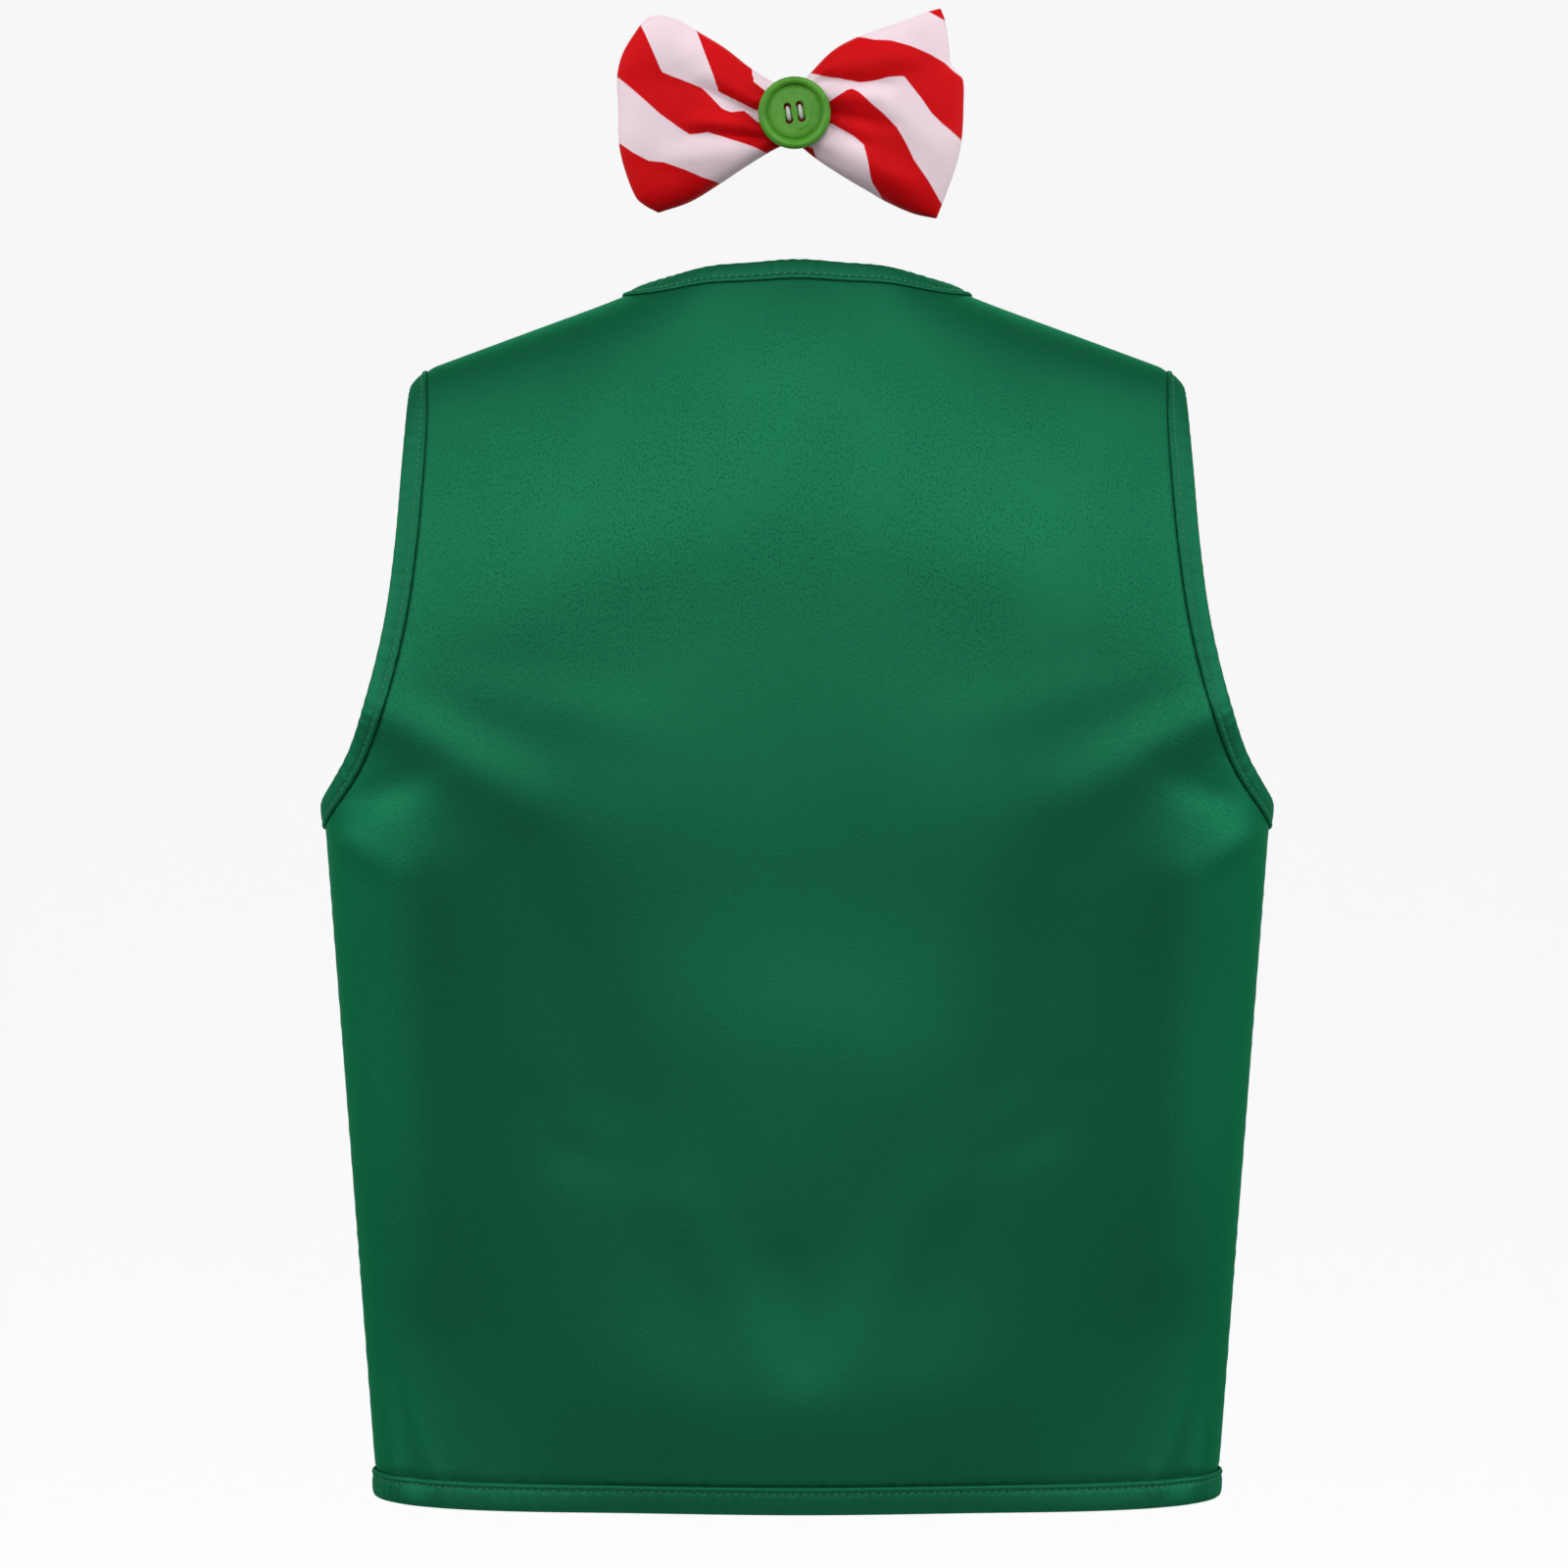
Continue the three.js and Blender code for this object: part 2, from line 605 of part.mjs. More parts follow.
// Hem bindings, joined at the side seams
const halfHem = back.hem.map((edge, j) => bindingStation(-1, [edge, back.grid[1][j]]));
const wholeHem = [...halfHem.slice(1).reverse().map(mirrorStation), ...halfHem];
addPiece('hem_binding_back', bindingAlong(wholeHem, (k) => k < back.columns), satinBinding);
const frontHemStations = front.hem.map((edge, j) => bindingStation(1, [edge, front.grid[1][j]]));
const frontHem = bindingAlong(frontHemStations, () => false);
addPiece('hem_binding_front_right', frontHem, satinBinding);
addPiece('hem_binding_front_left', mirrorGeometry(frontHem), satinBinding);

// Bow: a strip of striped cloth sewn into a loop and gathered in the middle. Seen from above the loop
// runs out along the front of the right wing, round its fold, back along the back, and so on the left.
function bowPoint(wing, layer, out, up) {
  const { rows, bulge, direction, foldShift } = wing;
  const reach = rows[rows.length - 1].out;
  const top = readRows(rows, 'out', 'top', out);
  const bottom = readRows(rows, 'out', 'bottom', out);
  const depth = readRows(rows, 'out', 'depth', out);
  const fold = readRows(rows, 'out', 'fold', out);
  const bulged = out + bulge * (1 - up ** 4) * (out / reach) ** 4;
  const ripple = fold * Math.cos(Math.PI * (bowFoldsPerHeight * up + foldShift));
  const y = layer * (depth * (1 - bowEdgeFlatness * up * up) + ripple / 2);
  return new THREE.Vector3(direction * bulged, y, (top + bottom) / 2 + up * (top - bottom) / 2);
}

// Normals of a grid of points that closes on itself sideways, from each point's neighbours
function loopNormals(points) {
  const rows = points.length;
  const columns = points[0].length;
  return points.map((row, i) => row.map((_, j) => {
    const along = row[(j + 1) % columns].clone().sub(row[(j + columns - 1) % columns]);
    const upward = points[Math.min(i + 1, rows - 1)][j].clone().sub(points[Math.max(i - 1, 0)][j]);
    return along.cross(upward).normalize();
  }));
}

function loopWall(points, normals, thickness) {
  const rows = points.length;
  const columns = points[0].length;
  const corners = [];
  for (const sign of [1, -1]) {
    for (let i = 0; i < rows; i += 1) {
      for (let j = 0; j < columns; j += 1) {
        corners.push(points[i][j].clone().addScaledVector(normals[i][j], sign * thickness / 2));
      }
    }
  }
  const outerAt = (i, j) => i * columns + (j % columns);
  const innerAt = (i, j) => rows * columns + outerAt(i, j);
  const faces = [];
  const addQuad = (a, b, c, d) => faces.push([a, b, c], [a, c, d]);
  for (let j = 0; j < columns; j += 1) {
    for (let i = 0; i < rows - 1; i += 1) {
      addQuad(outerAt(i, j), outerAt(i + 1, j), outerAt(i + 1, j + 1), outerAt(i, j + 1));
      addQuad(innerAt(i, j), innerAt(i, j + 1), innerAt(i + 1, j + 1), innerAt(i + 1, j));
    }
    addQuad(innerAt(0, j), outerAt(0, j), outerAt(0, j + 1), innerAt(0, j + 1));
    addQuad(outerAt(rows - 1, j), innerAt(rows - 1, j), innerAt(rows - 1, j + 1), outerAt(rows - 1, j + 1));
  }
  return makeGeometry(corners, faces);
}

const rightWing = { rows: rightWingRows, bulge: rightWingBulge, direction: 1, foldShift: 0.35 };
const leftWing = { rows: leftWingRows, bulge: leftWingBulge, direction: -1, foldShift: -0.3 };
const bowReach = rightWingRows[rightWingRows.length - 1].out;
const bowLoop = [
  ...bowStations.map((out) => ({ wing: rightWing, out, layer: -1 })),
  { wing: rightWing, out: bowReach, layer: 0 },
  ...bowStations.map((out) => ({ wing: rightWing, out, layer: 1 })).reverse(),
  ...bowStations.slice(1).map((out) => ({ wing: leftWing, out, layer: 1 })),
  { wing: leftWing, out: bowReach, layer: 0 },
  ...bowStations.slice(1).map((out) => ({ wing: leftWing, out, layer: -1 })).reverse(),
];
const bowPoints = [];
for (let i = 0; i <= bowCellsUp; i += 1) {
  const up = 2 * i / bowCellsUp - 1;
  bowPoints.push(bowLoop.map(({ wing, layer, out }) => bowPoint(wing, layer, out, up).add(bowCentre)));
}
addPiece('bow', loopWall(bowPoints, loopNormals(bowPoints), bowWall), stripedCloth);

// Wrap: a narrow band round the gathered middle of the bow
const wrapCells = 28;
const wrapPoints = [];
const wrapNormals = [];
for (const across of [-wrapHalfWidth, wrapHalfWidth]) {
  const ring = [];
  const ringNormals = [];
  for (let j = 0; j < wrapCells; j += 1) {
    const angle = -2 * Math.PI * j / wrapCells;
    const c = Math.cos(angle);
    const s = Math.sin(angle);
    const y = wrapHalfDepth * Math.sign(c) * Math.abs(c) ** wrapRoundness;
    const z = wrapHalfHeight * Math.sign(s) * Math.abs(s) ** wrapRoundness;
    ring.push(new THREE.Vector3(across, y, z).add(bowCentre));
    const lean = 2 / wrapRoundness - 1;
    const outY = Math.sign(y) * Math.abs(y / wrapHalfDepth) ** lean / wrapHalfDepth;
    const outZ = Math.sign(z) * Math.abs(z / wrapHalfHeight) ** lean / wrapHalfHeight;
    ringNormals.push(new THREE.Vector3(0, outY, outZ).normalize());
  }
  wrapPoints.push(ring);
  wrapNormals.push(ringNormals);
}
addPiece('bow_wrap', loopWall(wrapPoints, wrapNormals, wrapWall), stripedCloth);

// Button: turned with a raised round rim, a groove inside it and a slightly domed middle, four holes
const wasm = await Module();
wasm.setup();

function toSolid(geometry) {
  const bare = geometry.clone();
  bare.deleteAttribute('normal');
  bare.deleteAttribute('uv');
  const merged = mergeVertices(bare, 1e-4);
  return new wasm.Manifold(new wasm.Mesh({
    numProp: 3,
    vertProperties: new Float32Array(merged.getAttribute('position').array),
    triVerts: new Uint32Array(merged.getIndex().array),
  }));
}

function fromSolid(solid) {
  const mesh = solid.getMesh();
  const geometry = new THREE.BufferGeometry();
  geometry.setAttribute('position', new THREE.Float32BufferAttribute(Array.from(mesh.vertProperties), 3));
  geometry.setIndex(Array.from(mesh.triVerts));
  return geometry;
}

const buttonProfile = [
  [0, 0],
  [buttonRadius - 1.0, 0],
  [buttonRadius, 1.0],
  [buttonRadius, buttonThickness - 1.2],
  [buttonRadius - 0.7, buttonThickness - 0.3],
  [buttonRadius - 1.7, buttonThickness],
  [buttonRadius - 2.7, buttonThickness - 0.3],
  [buttonRadius - 3.3, buttonThickness - 1.2],
  [buttonRadius - 4.2, buttonThickness - 1.0],
  [buttonRadius - 8.5, buttonThickness - 0.75],
  [0, buttonThickness - 0.7],
];
const buttonTurned = new THREE.LatheGeometry(buttonProfile.map(([r, h]) => new THREE.Vector2(r, h)), 32);
const buttonBack = -(wrapHalfDepth + wrapWall / 2 + seamGap);
let buttonSolid = toSolid(buttonTurned);
const holePlaces = [[-1, -1], [1, -1], [-1, 1], [1, 1]];
holePlaces.forEach(([sx, sz]) => {
  const drill = new THREE.CylinderGeometry(buttonHoleRadius, buttonHoleRadius, 3 * buttonThickness, 10);
  drill.translate(sx * buttonHoleAcross, buttonThickness / 2, sz * buttonHoleUp);
  buttonSolid = buttonSolid.subtract(toSolid(drill));
});
const button = addPiece('bow_button', fromSolid(buttonSolid), greenPlastic);
button.rotation.x = Math.PI;
button.position.set(bowCentre.x, bowCentre.y + buttonBack, bowCentre.z);

// Thread: on each side one stitch that comes up through one hole and goes down the other
const faceOut = buttonBack - (buttonThickness - 0.7);
for (const [name, sx] of [['button_thread_left', -1], ['button_thread_right', 1]]) {
  const stitch = new THREE.CatmullRomCurve3([
    new THREE.Vector3(0, buttonBack - seamGap, -buttonHoleUp),
    new THREE.Vector3(0, faceOut + 0.2, -buttonHoleUp),
    new THREE.Vector3(0, faceOut - threadRadius - 0.35, -buttonHoleUp + 0.9),
    new THREE.Vector3(0, faceOut - threadRadius - 0.6, 0),
    new THREE.Vector3(0, faceOut - threadRadius - 0.35, buttonHoleUp - 0.9),
    new THREE.Vector3(0, faceOut + 0.2, buttonHoleUp),
    new THREE.Vector3(0, buttonBack - seamGap, buttonHoleUp),
  ]);
  const round = new THREE.Shape();
  round.absarc(0, 0, threadRadius, 0, 2 * Math.PI);
  const thread = new THREE.ExtrudeGeometry(round, { steps: 12, extrudePath: stitch, curveSegments: 3 });
  const piece = addPiece(name, thread, greyThread);
  piece.position.set(bowCentre.x + sx * buttonHoleAcross, bowCentre.y, bowCentre.z);
}

export default costume;
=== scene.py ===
import bmesh
import bpy
import numpy as np
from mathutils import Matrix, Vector


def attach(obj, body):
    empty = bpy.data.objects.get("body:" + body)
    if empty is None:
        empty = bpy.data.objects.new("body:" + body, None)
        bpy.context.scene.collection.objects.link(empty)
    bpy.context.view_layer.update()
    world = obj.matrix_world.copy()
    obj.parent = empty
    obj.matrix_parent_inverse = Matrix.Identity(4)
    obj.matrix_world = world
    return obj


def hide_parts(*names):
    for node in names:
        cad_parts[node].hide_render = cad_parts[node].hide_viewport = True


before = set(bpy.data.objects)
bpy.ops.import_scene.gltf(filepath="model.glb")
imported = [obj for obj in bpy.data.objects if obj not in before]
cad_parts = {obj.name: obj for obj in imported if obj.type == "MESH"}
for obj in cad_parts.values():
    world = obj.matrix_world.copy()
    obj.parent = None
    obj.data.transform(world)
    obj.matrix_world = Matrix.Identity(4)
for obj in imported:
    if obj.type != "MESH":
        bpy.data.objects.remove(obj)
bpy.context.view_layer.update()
METRE = 0.001

# Camera. The picture is taken square on to the back with a long lens, as clothes for sale are, and both
# pieces fill its height. Its middle is a little left of the waistcoat's own middle line.
camera_distance = 2.385
camera_data = bpy.data.cameras.new("camera")
camera_data.sensor_width = 36.0
camera_data.lens = 150.26
camera_data.clip_end = 60.0
camera = bpy.data.objects.new("camera", camera_data)
camera.location = (-0.0048, -camera_distance, -0.1793)
camera.rotation_euler = (np.pi / 2, 0.0, 0.0)
bpy.context.scene.collection.objects.link(camera)
bpy.context.scene.camera = camera
bpy.context.scene.view_settings.view_transform = "Standard"


# Studio. A pale floor sweeps up into a pale wall behind the costume, so that the picture's ground is even.
# Soft boxes hang round the back at several heights, in pairs to the left and right, with one at the front.
class Wire:
    """One socket of a material's nodes, or a new node's place. Arithmetic on it adds Math nodes."""

    def __init__(self, tree, socket=None):
        self.tree = tree
        self.socket = socket

    def node(self, kind, settings=None, sockets=None, output=0):
        made = self.tree.nodes.new(kind)
        for key, value in (settings or {}).items():
            setattr(made, key, value)
        for key, value in (sockets or {}).items():
            if isinstance(value, Wire):
                self.tree.links.new(value.socket, made.inputs[key])
            else:
                made.inputs[key].default_value = value
        return Wire(self.tree, made.outputs[output] if made.outputs else None)

    def math(self, operation, other=0.0):
        return self.node("ShaderNodeMath", {"operation": operation}, {0: self, 1: other})

    def __add__(self, other):
        return self.math("ADD", other)

    def __sub__(self, other):
        return self.math("SUBTRACT", other)

    def __rsub__(self, other):
        return self.node("ShaderNodeMath", {"operation": "SUBTRACT"}, {0: other, 1: self})

    def __mul__(self, other):
        return self.math("MULTIPLY", other)

    __radd__, __rmul__ = __add__, __mul__

    def between(self, low, high):
        """0 below low, 1 above high, with a smooth way between them."""
        ends = {0: self, 1: low, 2: high, 3: 0.0, 4: 1.0}
        return self.node("ShaderNodeMapRange", {"interpolation_type": "SMOOTHSTEP"}, ends)

    def tint(self, first, second):
        """The first colour, or link, where this is 0, the second where it is 1."""
        made = self.tree.nodes.new("ShaderNodeMix")
        made.data_type = "RGBA"
        fitting = [s for s in made.inputs if s.enabled and s.type in ("RGBA", "VALUE")]
        for name, value in (("Factor", self), ("A", first), ("B", second)):
            target = next(s for s in fitting if s.name == name)
            if isinstance(value, Wire):
                self.tree.links.new(value.socket, target)
            else:
                target.default_value = value if name == "Factor" else (*value, 1.0)
        return Wire(self.tree, next(s for s in made.outputs if s.type == "RGBA"))

    def noise(self, scale, detail, roughness=0.5):
        """Soft random values, about 0.5 on average, on these coordinates multiplied by three numbers."""
        stretched = self.node("ShaderNodeMapping", {"vector_type": "POINT"}, {"Vector": self, "Scale": scale})
        values = {"Vector": stretched, "Scale": 1.0, "Detail": detail, "Roughness": roughness}
        return self.node("ShaderNodeTexNoise", {"noise_dimensions": "3D"}, values)

    def bump(self, strength, depth):
        """A Bump node with this as its height in units of depth metres."""
        return self.node("ShaderNodeBump", None, {"Strength": strength, "Distance": depth, "Height": self})


def new_finish(name):
    """An empty node material and the place where its nodes start."""
    material = bpy.data.materials.new(name)
    material.use_nodes = True
    material.node_tree.nodes.clear()
    return material, Wire(material.node_tree)


def finish_with(start, **sockets):
    """Ends a material in one Principled shader with the given values or links on its sockets."""
    values = {key.replace("_", " "): value for key, value in sockets.items()}
    shader = start.node("ShaderNodeBsdfPrincipled", None, values)
    start.node("ShaderNodeOutputMaterial", None, {"Surface": shader})


def grid_faces(rows, columns, close_rows=False, close_columns=False):
    """The four corners of each cell of a grid whose points are numbered along its rows."""
    index = np.arange(rows * columns).reshape(rows, columns)
    if close_columns:
        index = np.concatenate([index, index[:, :1]], axis=1)
    if close_rows:
        index = np.concatenate([index, index[:1]], axis=0)
    cells = [index[:-1, :-1], index[:-1, 1:], index[1:, 1:], index[1:, :-1]]
    return np.stack(cells, axis=-1).reshape(-1, 4)


def build_piece(name, points, faces, material, charts=None, floats=None):
    """A smooth mesh of points in millimetres and faces. Charts are UV maps, one pair to each corner of
    each face, in metres. Floats are named values, one to each point."""
    mesh = bpy.data.meshes.new(name)
    points = np.asarray(points, np.float32).reshape(-1, 3) * METRE
    mesh.from_pydata(points.tolist(), [], np.asarray(faces).tolist())
    for chart_name, corners in (charts or {}).items():
        layer = mesh.uv_layers.new(name=chart_name)
        layer.data.foreach_set("uv", np.asarray(corners, np.float32).ravel() * METRE)
    for float_name, values in (floats or {}).items():
        attribute = mesh.attributes.new(float_name, "FLOAT", "POINT")
        attribute.data.foreach_set("value", np.asarray(values, np.float32).ravel())
    mesh.polygons.foreach_set("use_smooth", np.ones(len(mesh.polygons), bool))
    mesh.materials.append(material)
    mesh.update()
    piece = bpy.data.objects.new(name, mesh)
    bpy.context.scene.collection.objects.link(piece)
    return piece


paper, start = new_finish("pale_paper")
behind = start.node("ShaderNodeSeparateXYZ", None, {0: start.node("ShaderNodeTexCoord", output=3)}, 1)
paper_glow = behind.between(0.6, 2.1).math("MAXIMUM", start.node("ShaderNodeLightPath") * 0.72)
finish_with(
    start,
    Base_Color=(0.72, 0.72, 0.72, 1.0),
    Roughness=0.9,
    Emission_Color=paper_glow.tint((0.0, 0.0, 0.0), (1.0, 1.0, 1.0)),
    Emission_Strength=0.75,
)
floor_height, wall_top, sweep_half_width = -980.0, 4200.0, 4500.0
near_edge, bend_start, bend_radius = -4500.0, 1900.0, 2000.0
sweep_turn = np.linspace(0.0, np.pi / 2, 24)
sweep_y = bend_start + bend_radius * np.sin(sweep_turn)
sweep_y = np.concatenate([[near_edge], sweep_y, [bend_start + bend_radius]])
sweep_z = floor_height + bend_radius * (1 - np.cos(sweep_turn))
sweep_z = np.concatenate([[floor_height], sweep_z, [wall_top]])
sweep_x = np.linspace(-sweep_half_width, sweep_half_width, 9)
sweep_points = np.stack(np.broadcast_arrays(sweep_x, sweep_y[:, None], sweep_z[:, None]), axis=-1)
floor = build_piece("pale_floor", sweep_points, grid_faces(*sweep_points.shape[:2]), paper)

world = bpy.data.worlds.new("studio")
world.use_nodes = True
start = Wire(world.node_tree)
seen = start.node("ShaderNodeLightPath")
world.node_tree.nodes["Background"].inputs["Color"].default_value = (0.95, 0.97, 1.0, 1.0)
world.node_tree.links.new((0.035 + seen * 0.8).socket, world.node_tree.nodes["Background"].inputs["Strength"])
bpy.context.scene.world = world

# Each light, or its pair to the left and right: the way round from the back's middle and the height above
# the horizon, degrees; distance; width and height of the soft box; watts
soft_lights = [
    ("key", 0, 28, 2.4, 0.9, 0.4, 2.1),
    ("key", 38, 25, 2.4, 0.9, 0.4, 2.1),
    ("low_key", 0, 8, 2.4, 0.9, 0.4, 1.4),
    ("high_key", 0, 45, 2.4, 0.9, 0.4, 1.0),
    ("high_quarter", 45, 48, 2.4, 0.9, 0.5, 0.7),
    ("side", 84, 19, 2.4, 0.9, 0.5, 3.6),
    ("edge", 100, 5, 2.4, 0.9, 0.5, 1.2),
    ("high", 76, 58, 2.4, 1.2, 0.8, 1.9),
    ("front", 180, 34, 2.6, 1.2, 0.8, 2.8),
]
box_spread = np.radians(80.0)
light_target = Vector((0.0, 0.0, -0.2))
for light_name, way_round, high, distance, across, along, watts in soft_lights:
    for side_name, way in (("", 1),) if way_round in (0, 180) else (("_left", -1), ("_right", 1)):
        round_turn, lift_turn = np.radians(way * way_round), np.radians(high)
        flat_way = (np.sin(round_turn) * np.cos(lift_turn), -np.cos(round_turn) * np.cos(lift_turn))
        light_data = bpy.data.lights.new(light_name + side_name, "AREA")
        light_data.shape = "RECTANGLE"
        light_data.size = across
        light_data.size_y = along
        light_data.energy = watts
        light_data.spread = box_spread
        light = bpy.data.objects.new(light_name + side_name, light_data)
        light.location = light_target + distance * Vector((*flat_way, np.sin(lift_turn)))
        light.rotation_euler = (light_target - light.location).to_track_quat("-Z", "Y").to_euler()
        bpy.context.scene.collection.objects.link(light)


# Waistcoat back. One piece of polyester satin cut on the fold, with the warp running down it. It hangs
# from the shoulders over the shoulder blades and drops almost straight to the hem, filled out by a body.
squareness = 0.03
chest_half_width = 172.0
underarm_height = -188.0
hem_height = -436.5
hem_half_width = 152.8
shoulder_drop = 110.0
shoulder_slope = 0.372
shoulder_seam_forward = 8.0
neck_half_width = 56.5
neck_back_fall = 46.0
nape_round, nape_back, nape_half_width = 16.0, 31.0, 78.0
shoulder_tip_across, front_edge_across = 139.0, 3.3
fronts_part_height, front_armhole_scoop = -172.0, 6.0
seam_gap = 0.3
depth_rows_back = [(30, 77), (-50, 79), (-110, 82), (-190, 80), (-270, 75), (-350, 73), (-450, 75)]
depth_rows_front = [(30, 74), (-50, 78), (-110, 82), (-190, 85), (-270, 85), (-350, 81), (-450, 77)]
armhole_rows = [
    (-45, 139.4), (-67, 140.5), (-95, 142.4), (-123, 146.2),
    (-150, 152.8), (-168, 159.4), (-179, 166.0), (-185.5, 170.7),
]
BACK, FRONT = -1, 1


def read_rows(rows, value):
    """A smooth curve through a table of rows, key and amount: cubic pieces, with the slope at each row
    taken from its two neighbours."""
    table = np.array(sorted(rows), float)
    keys, amounts = table[:, 0], table[:, 1]
    row = np.arange(len(keys))
    before, after = np.maximum(row - 1, 0), np.minimum(row + 1, len(keys) - 1)
    slopes = (amounts[after] - amounts[before]) / (keys[after] - keys[before])
    value = np.clip(value, keys[0], keys[-1])
    k = np.clip(np.searchsorted(keys, value, side="right") - 1, 0, len(keys) - 2)
    width = keys[k + 1] - keys[k]
    s = (value - keys[k]) / width
    ends = amounts[k] * (1 + 2 * s) * (1 - s) ** 2 + amounts[k + 1] * s * s * (3 - 2 * s)
    return ends + width * (slopes[k] * s * (1 - s) ** 2 - slopes[k + 1] * s * s * (1 - s))


def bell(distance, width):
    """1 at no distance and falling away on both sides: e to the minus square of the distance in widths."""
    return np.exp(-((distance / width) ** 2))


def run_length(points):
    """The distance from the first of a row of points to each of them, along the row."""
    return np.concatenate([[0.0], np.cumsum(np.linalg.norm(np.diff(points, axis=0), axis=-1))])


def across_share(turn):
    """How far across the body a turn lies: a sine with a little of its third harmonic, 1 at the side."""
    return (np.sin(turn) + squareness * np.sin(3 * turn)) / (1 - squareness)


def ridge_height(x):
    """Height of the shoulder ridge: it falls evenly from the neck to the tips, rounded at the nape, with a
    small lift where the neck's binding stands up."""
    rounded = np.hypot(x, nape_round) - np.hypot(neck_half_width, nape_round)
    return 2.2 * bell(np.abs(x) - 32.0, 15.0) - shoulder_slope * rounded


def height_at(turn, fall):
    """Height of the point at a turn round the body and a fall down the cloth from the shoulder ridge: the
    ridge's height, less a quarter circle over the shoulder, less the straight drop below it."""
    x = chest_half_width * across_share(turn)
    bend = np.minimum(fall / shoulder_drop, np.pi / 2)
    straight = np.maximum(fall - shoulder_drop * np.pi / 2, 0.0)
    tip = 0.07 * np.maximum(np.abs(x) - 131.0, 0.0) ** 2 * bell(fall, 60.0)
    return ridge_height(x) - tip - shoulder_drop * (1 - np.cos(bend)) - straight


def body_point(side, turn, fall):
    """Point of the filled-out form: across it goes by the turn and the body's half width at that height,
    and back or forward by the depth table times a cosine, eased in from the shoulder ridge. A fall below
    zero lies over the ridge, on the other side."""
    side = np.where(fall < 0, -side, side)
    fall = np.abs(fall)
    height = height_at(turn, fall)
    bend = np.minimum(fall / shoulder_drop, np.pi / 2)
    below = np.maximum(underarm_height - height, 0.0)
    narrowing = (chest_half_width - hem_half_width) / (underarm_height - hem_height)
    x = (chest_half_width - below * narrowing) * across_share(turn)
    depth = np.where(side < 0, read_rows(depth_rows_back, height), read_rows(depth_rows_front, height))
    deep = (np.cos(turn) - squareness * np.cos(3 * turn)) / (1 - squareness)
    ridge = -nape_back * np.maximum(1 - (x / nape_half_width) ** 2, 0.0) ** 2
    y = ridge + (side * depth * deep - ridge) * np.sin(bend)
    return np.stack([x, y, height], axis=-1)


def unit(vectors):
    """The same directions, each made one long."""
    return vectors / np.linalg.norm(vectors, axis=-1, keepdims=True)


def body_steps(side, turn, fall):
    """How the point moves for a small step of turn and of fall, by central differences."""
    small_turn, small_fall = 0.0005, 0.1
    by_turn = body_point(side, turn + small_turn, fall) - body_point(side, turn - small_turn, fall)
    by_fall = body_point(side, turn, fall + small_fall) - body_point(side, turn, fall - small_fall)
    return by_turn / (2 * small_turn), by_fall / (2 * small_fall)


def body_normal(side, turn, fall):
    """Outward direction of the form: the cross product of its two steps, made one long."""
    by_turn, by_fall = body_steps(side, turn, fall)
    return unit(np.cross(by_fall, by_turn) * -np.asarray(side)[..., None])


dense_turns = np.linspace(0.0, np.pi / 2, 2001)
dense_across = chest_half_width * across_share(dense_turns)
middle_depth = 80.0


def turn_at(across):
    """The turn that lies so far across, read back from the table of turns."""
    return np.sign(across) * np.interp(np.abs(across), dense_across, dense_turns)


def fall_at(turn, height):
    """The fall at which the form passes a height, by halving the range 44 times."""
    low = np.zeros(np.broadcast(turn, height).shape)
    high = low + 700.0
    for _ in range(44):
        middle = (low + high) / 2
        above = height_at(turn, middle) > height
        low, high = np.where(above, middle, low), np.where(above, high, middle)
    return (low + high) / 2


def along_route(side, route, shares):
    """Turns and falls at given shares of a route's real length."""
    u = np.linspace(0.0, 1.0, 3001)
    turn, fall = route(u)
    length = run_length(body_point(side, turn, fall))
    at = np.interp(shares, length / length[-1], u)
    return np.interp(at, u, turn), np.interp(at, u, fall), length[-1]


seam_fall = {BACK: seam_gap / 2 - shoulder_seam_forward, FRONT: shoulder_seam_forward + seam_gap / 2}
side_reach = middle_depth * (1 + 3 * squareness) / (1 - squareness)
side_turn = np.pi / 2 - seam_gap / 2 / side_reach
neck_turn = turn_at(neck_half_width)
tip_turn = turn_at(shoulder_tip_across)
front_edge_turn = front_edge_across / chest_half_width


def armhole_route(side):
    """The armhole's cut edge from the underarm up to the shoulder seam: a smooth curve through the table
    of widths, scooped a little more in front."""
    scoop = 0.0 if side == BACK else front_armhole_scoop
    heights, across = np.array(armhole_rows, float).T
    part = (heights[0] - heights) / (heights[0] - underarm_height)
    turns = turn_at(across - scoop * np.sin(np.pi * part) ** 2)
    falls = fall_at(turns, heights)
    turns = np.concatenate([[tip_turn], turns, [side_turn]])[::-1]
    falls = np.concatenate([[seam_fall[side]], falls, [fall_at(side_turn, underarm_height)]])[::-1]
    chord = np.hypot(np.diff(turns) * chest_half_width, np.diff(falls))
    knots = np.concatenate([[0.0], np.cumsum(np.sqrt(chord))])
    knots = knots / knots[-1]

    def route(u):
        return read_rows(list(zip(knots, turns)), u), read_rows(list(zip(knots, falls)), u)

    return route


def side_seam_route(side):
    """The side seam's line from the hem up to the underarm."""
    low, high = fall_at(side_turn, hem_height), fall_at(side_turn, underarm_height)
    return lambda u: (np.full_like(u, side_turn), low + (high - low) * u)


def hem_route(side):
    """Half of the hem's cut edge from the middle, or the front edge, to the side seam."""
    first = 0.0 if side == BACK else front_edge_turn

    def route(u):
        turn = first + (side_turn - first) * u
        return turn, fall_at(turn, hem_height)

    return route


def neck_route(u):
    """Half of the back neck's cut edge from the middle to the shoulder seam: a quarter of an ellipse."""
    angle = u * np.pi / 2
    fall = seam_fall[BACK] + (neck_back_fall - seam_fall[BACK]) * np.cos(angle)
    return turn_at(neck_half_width * np.sin(angle)), fall


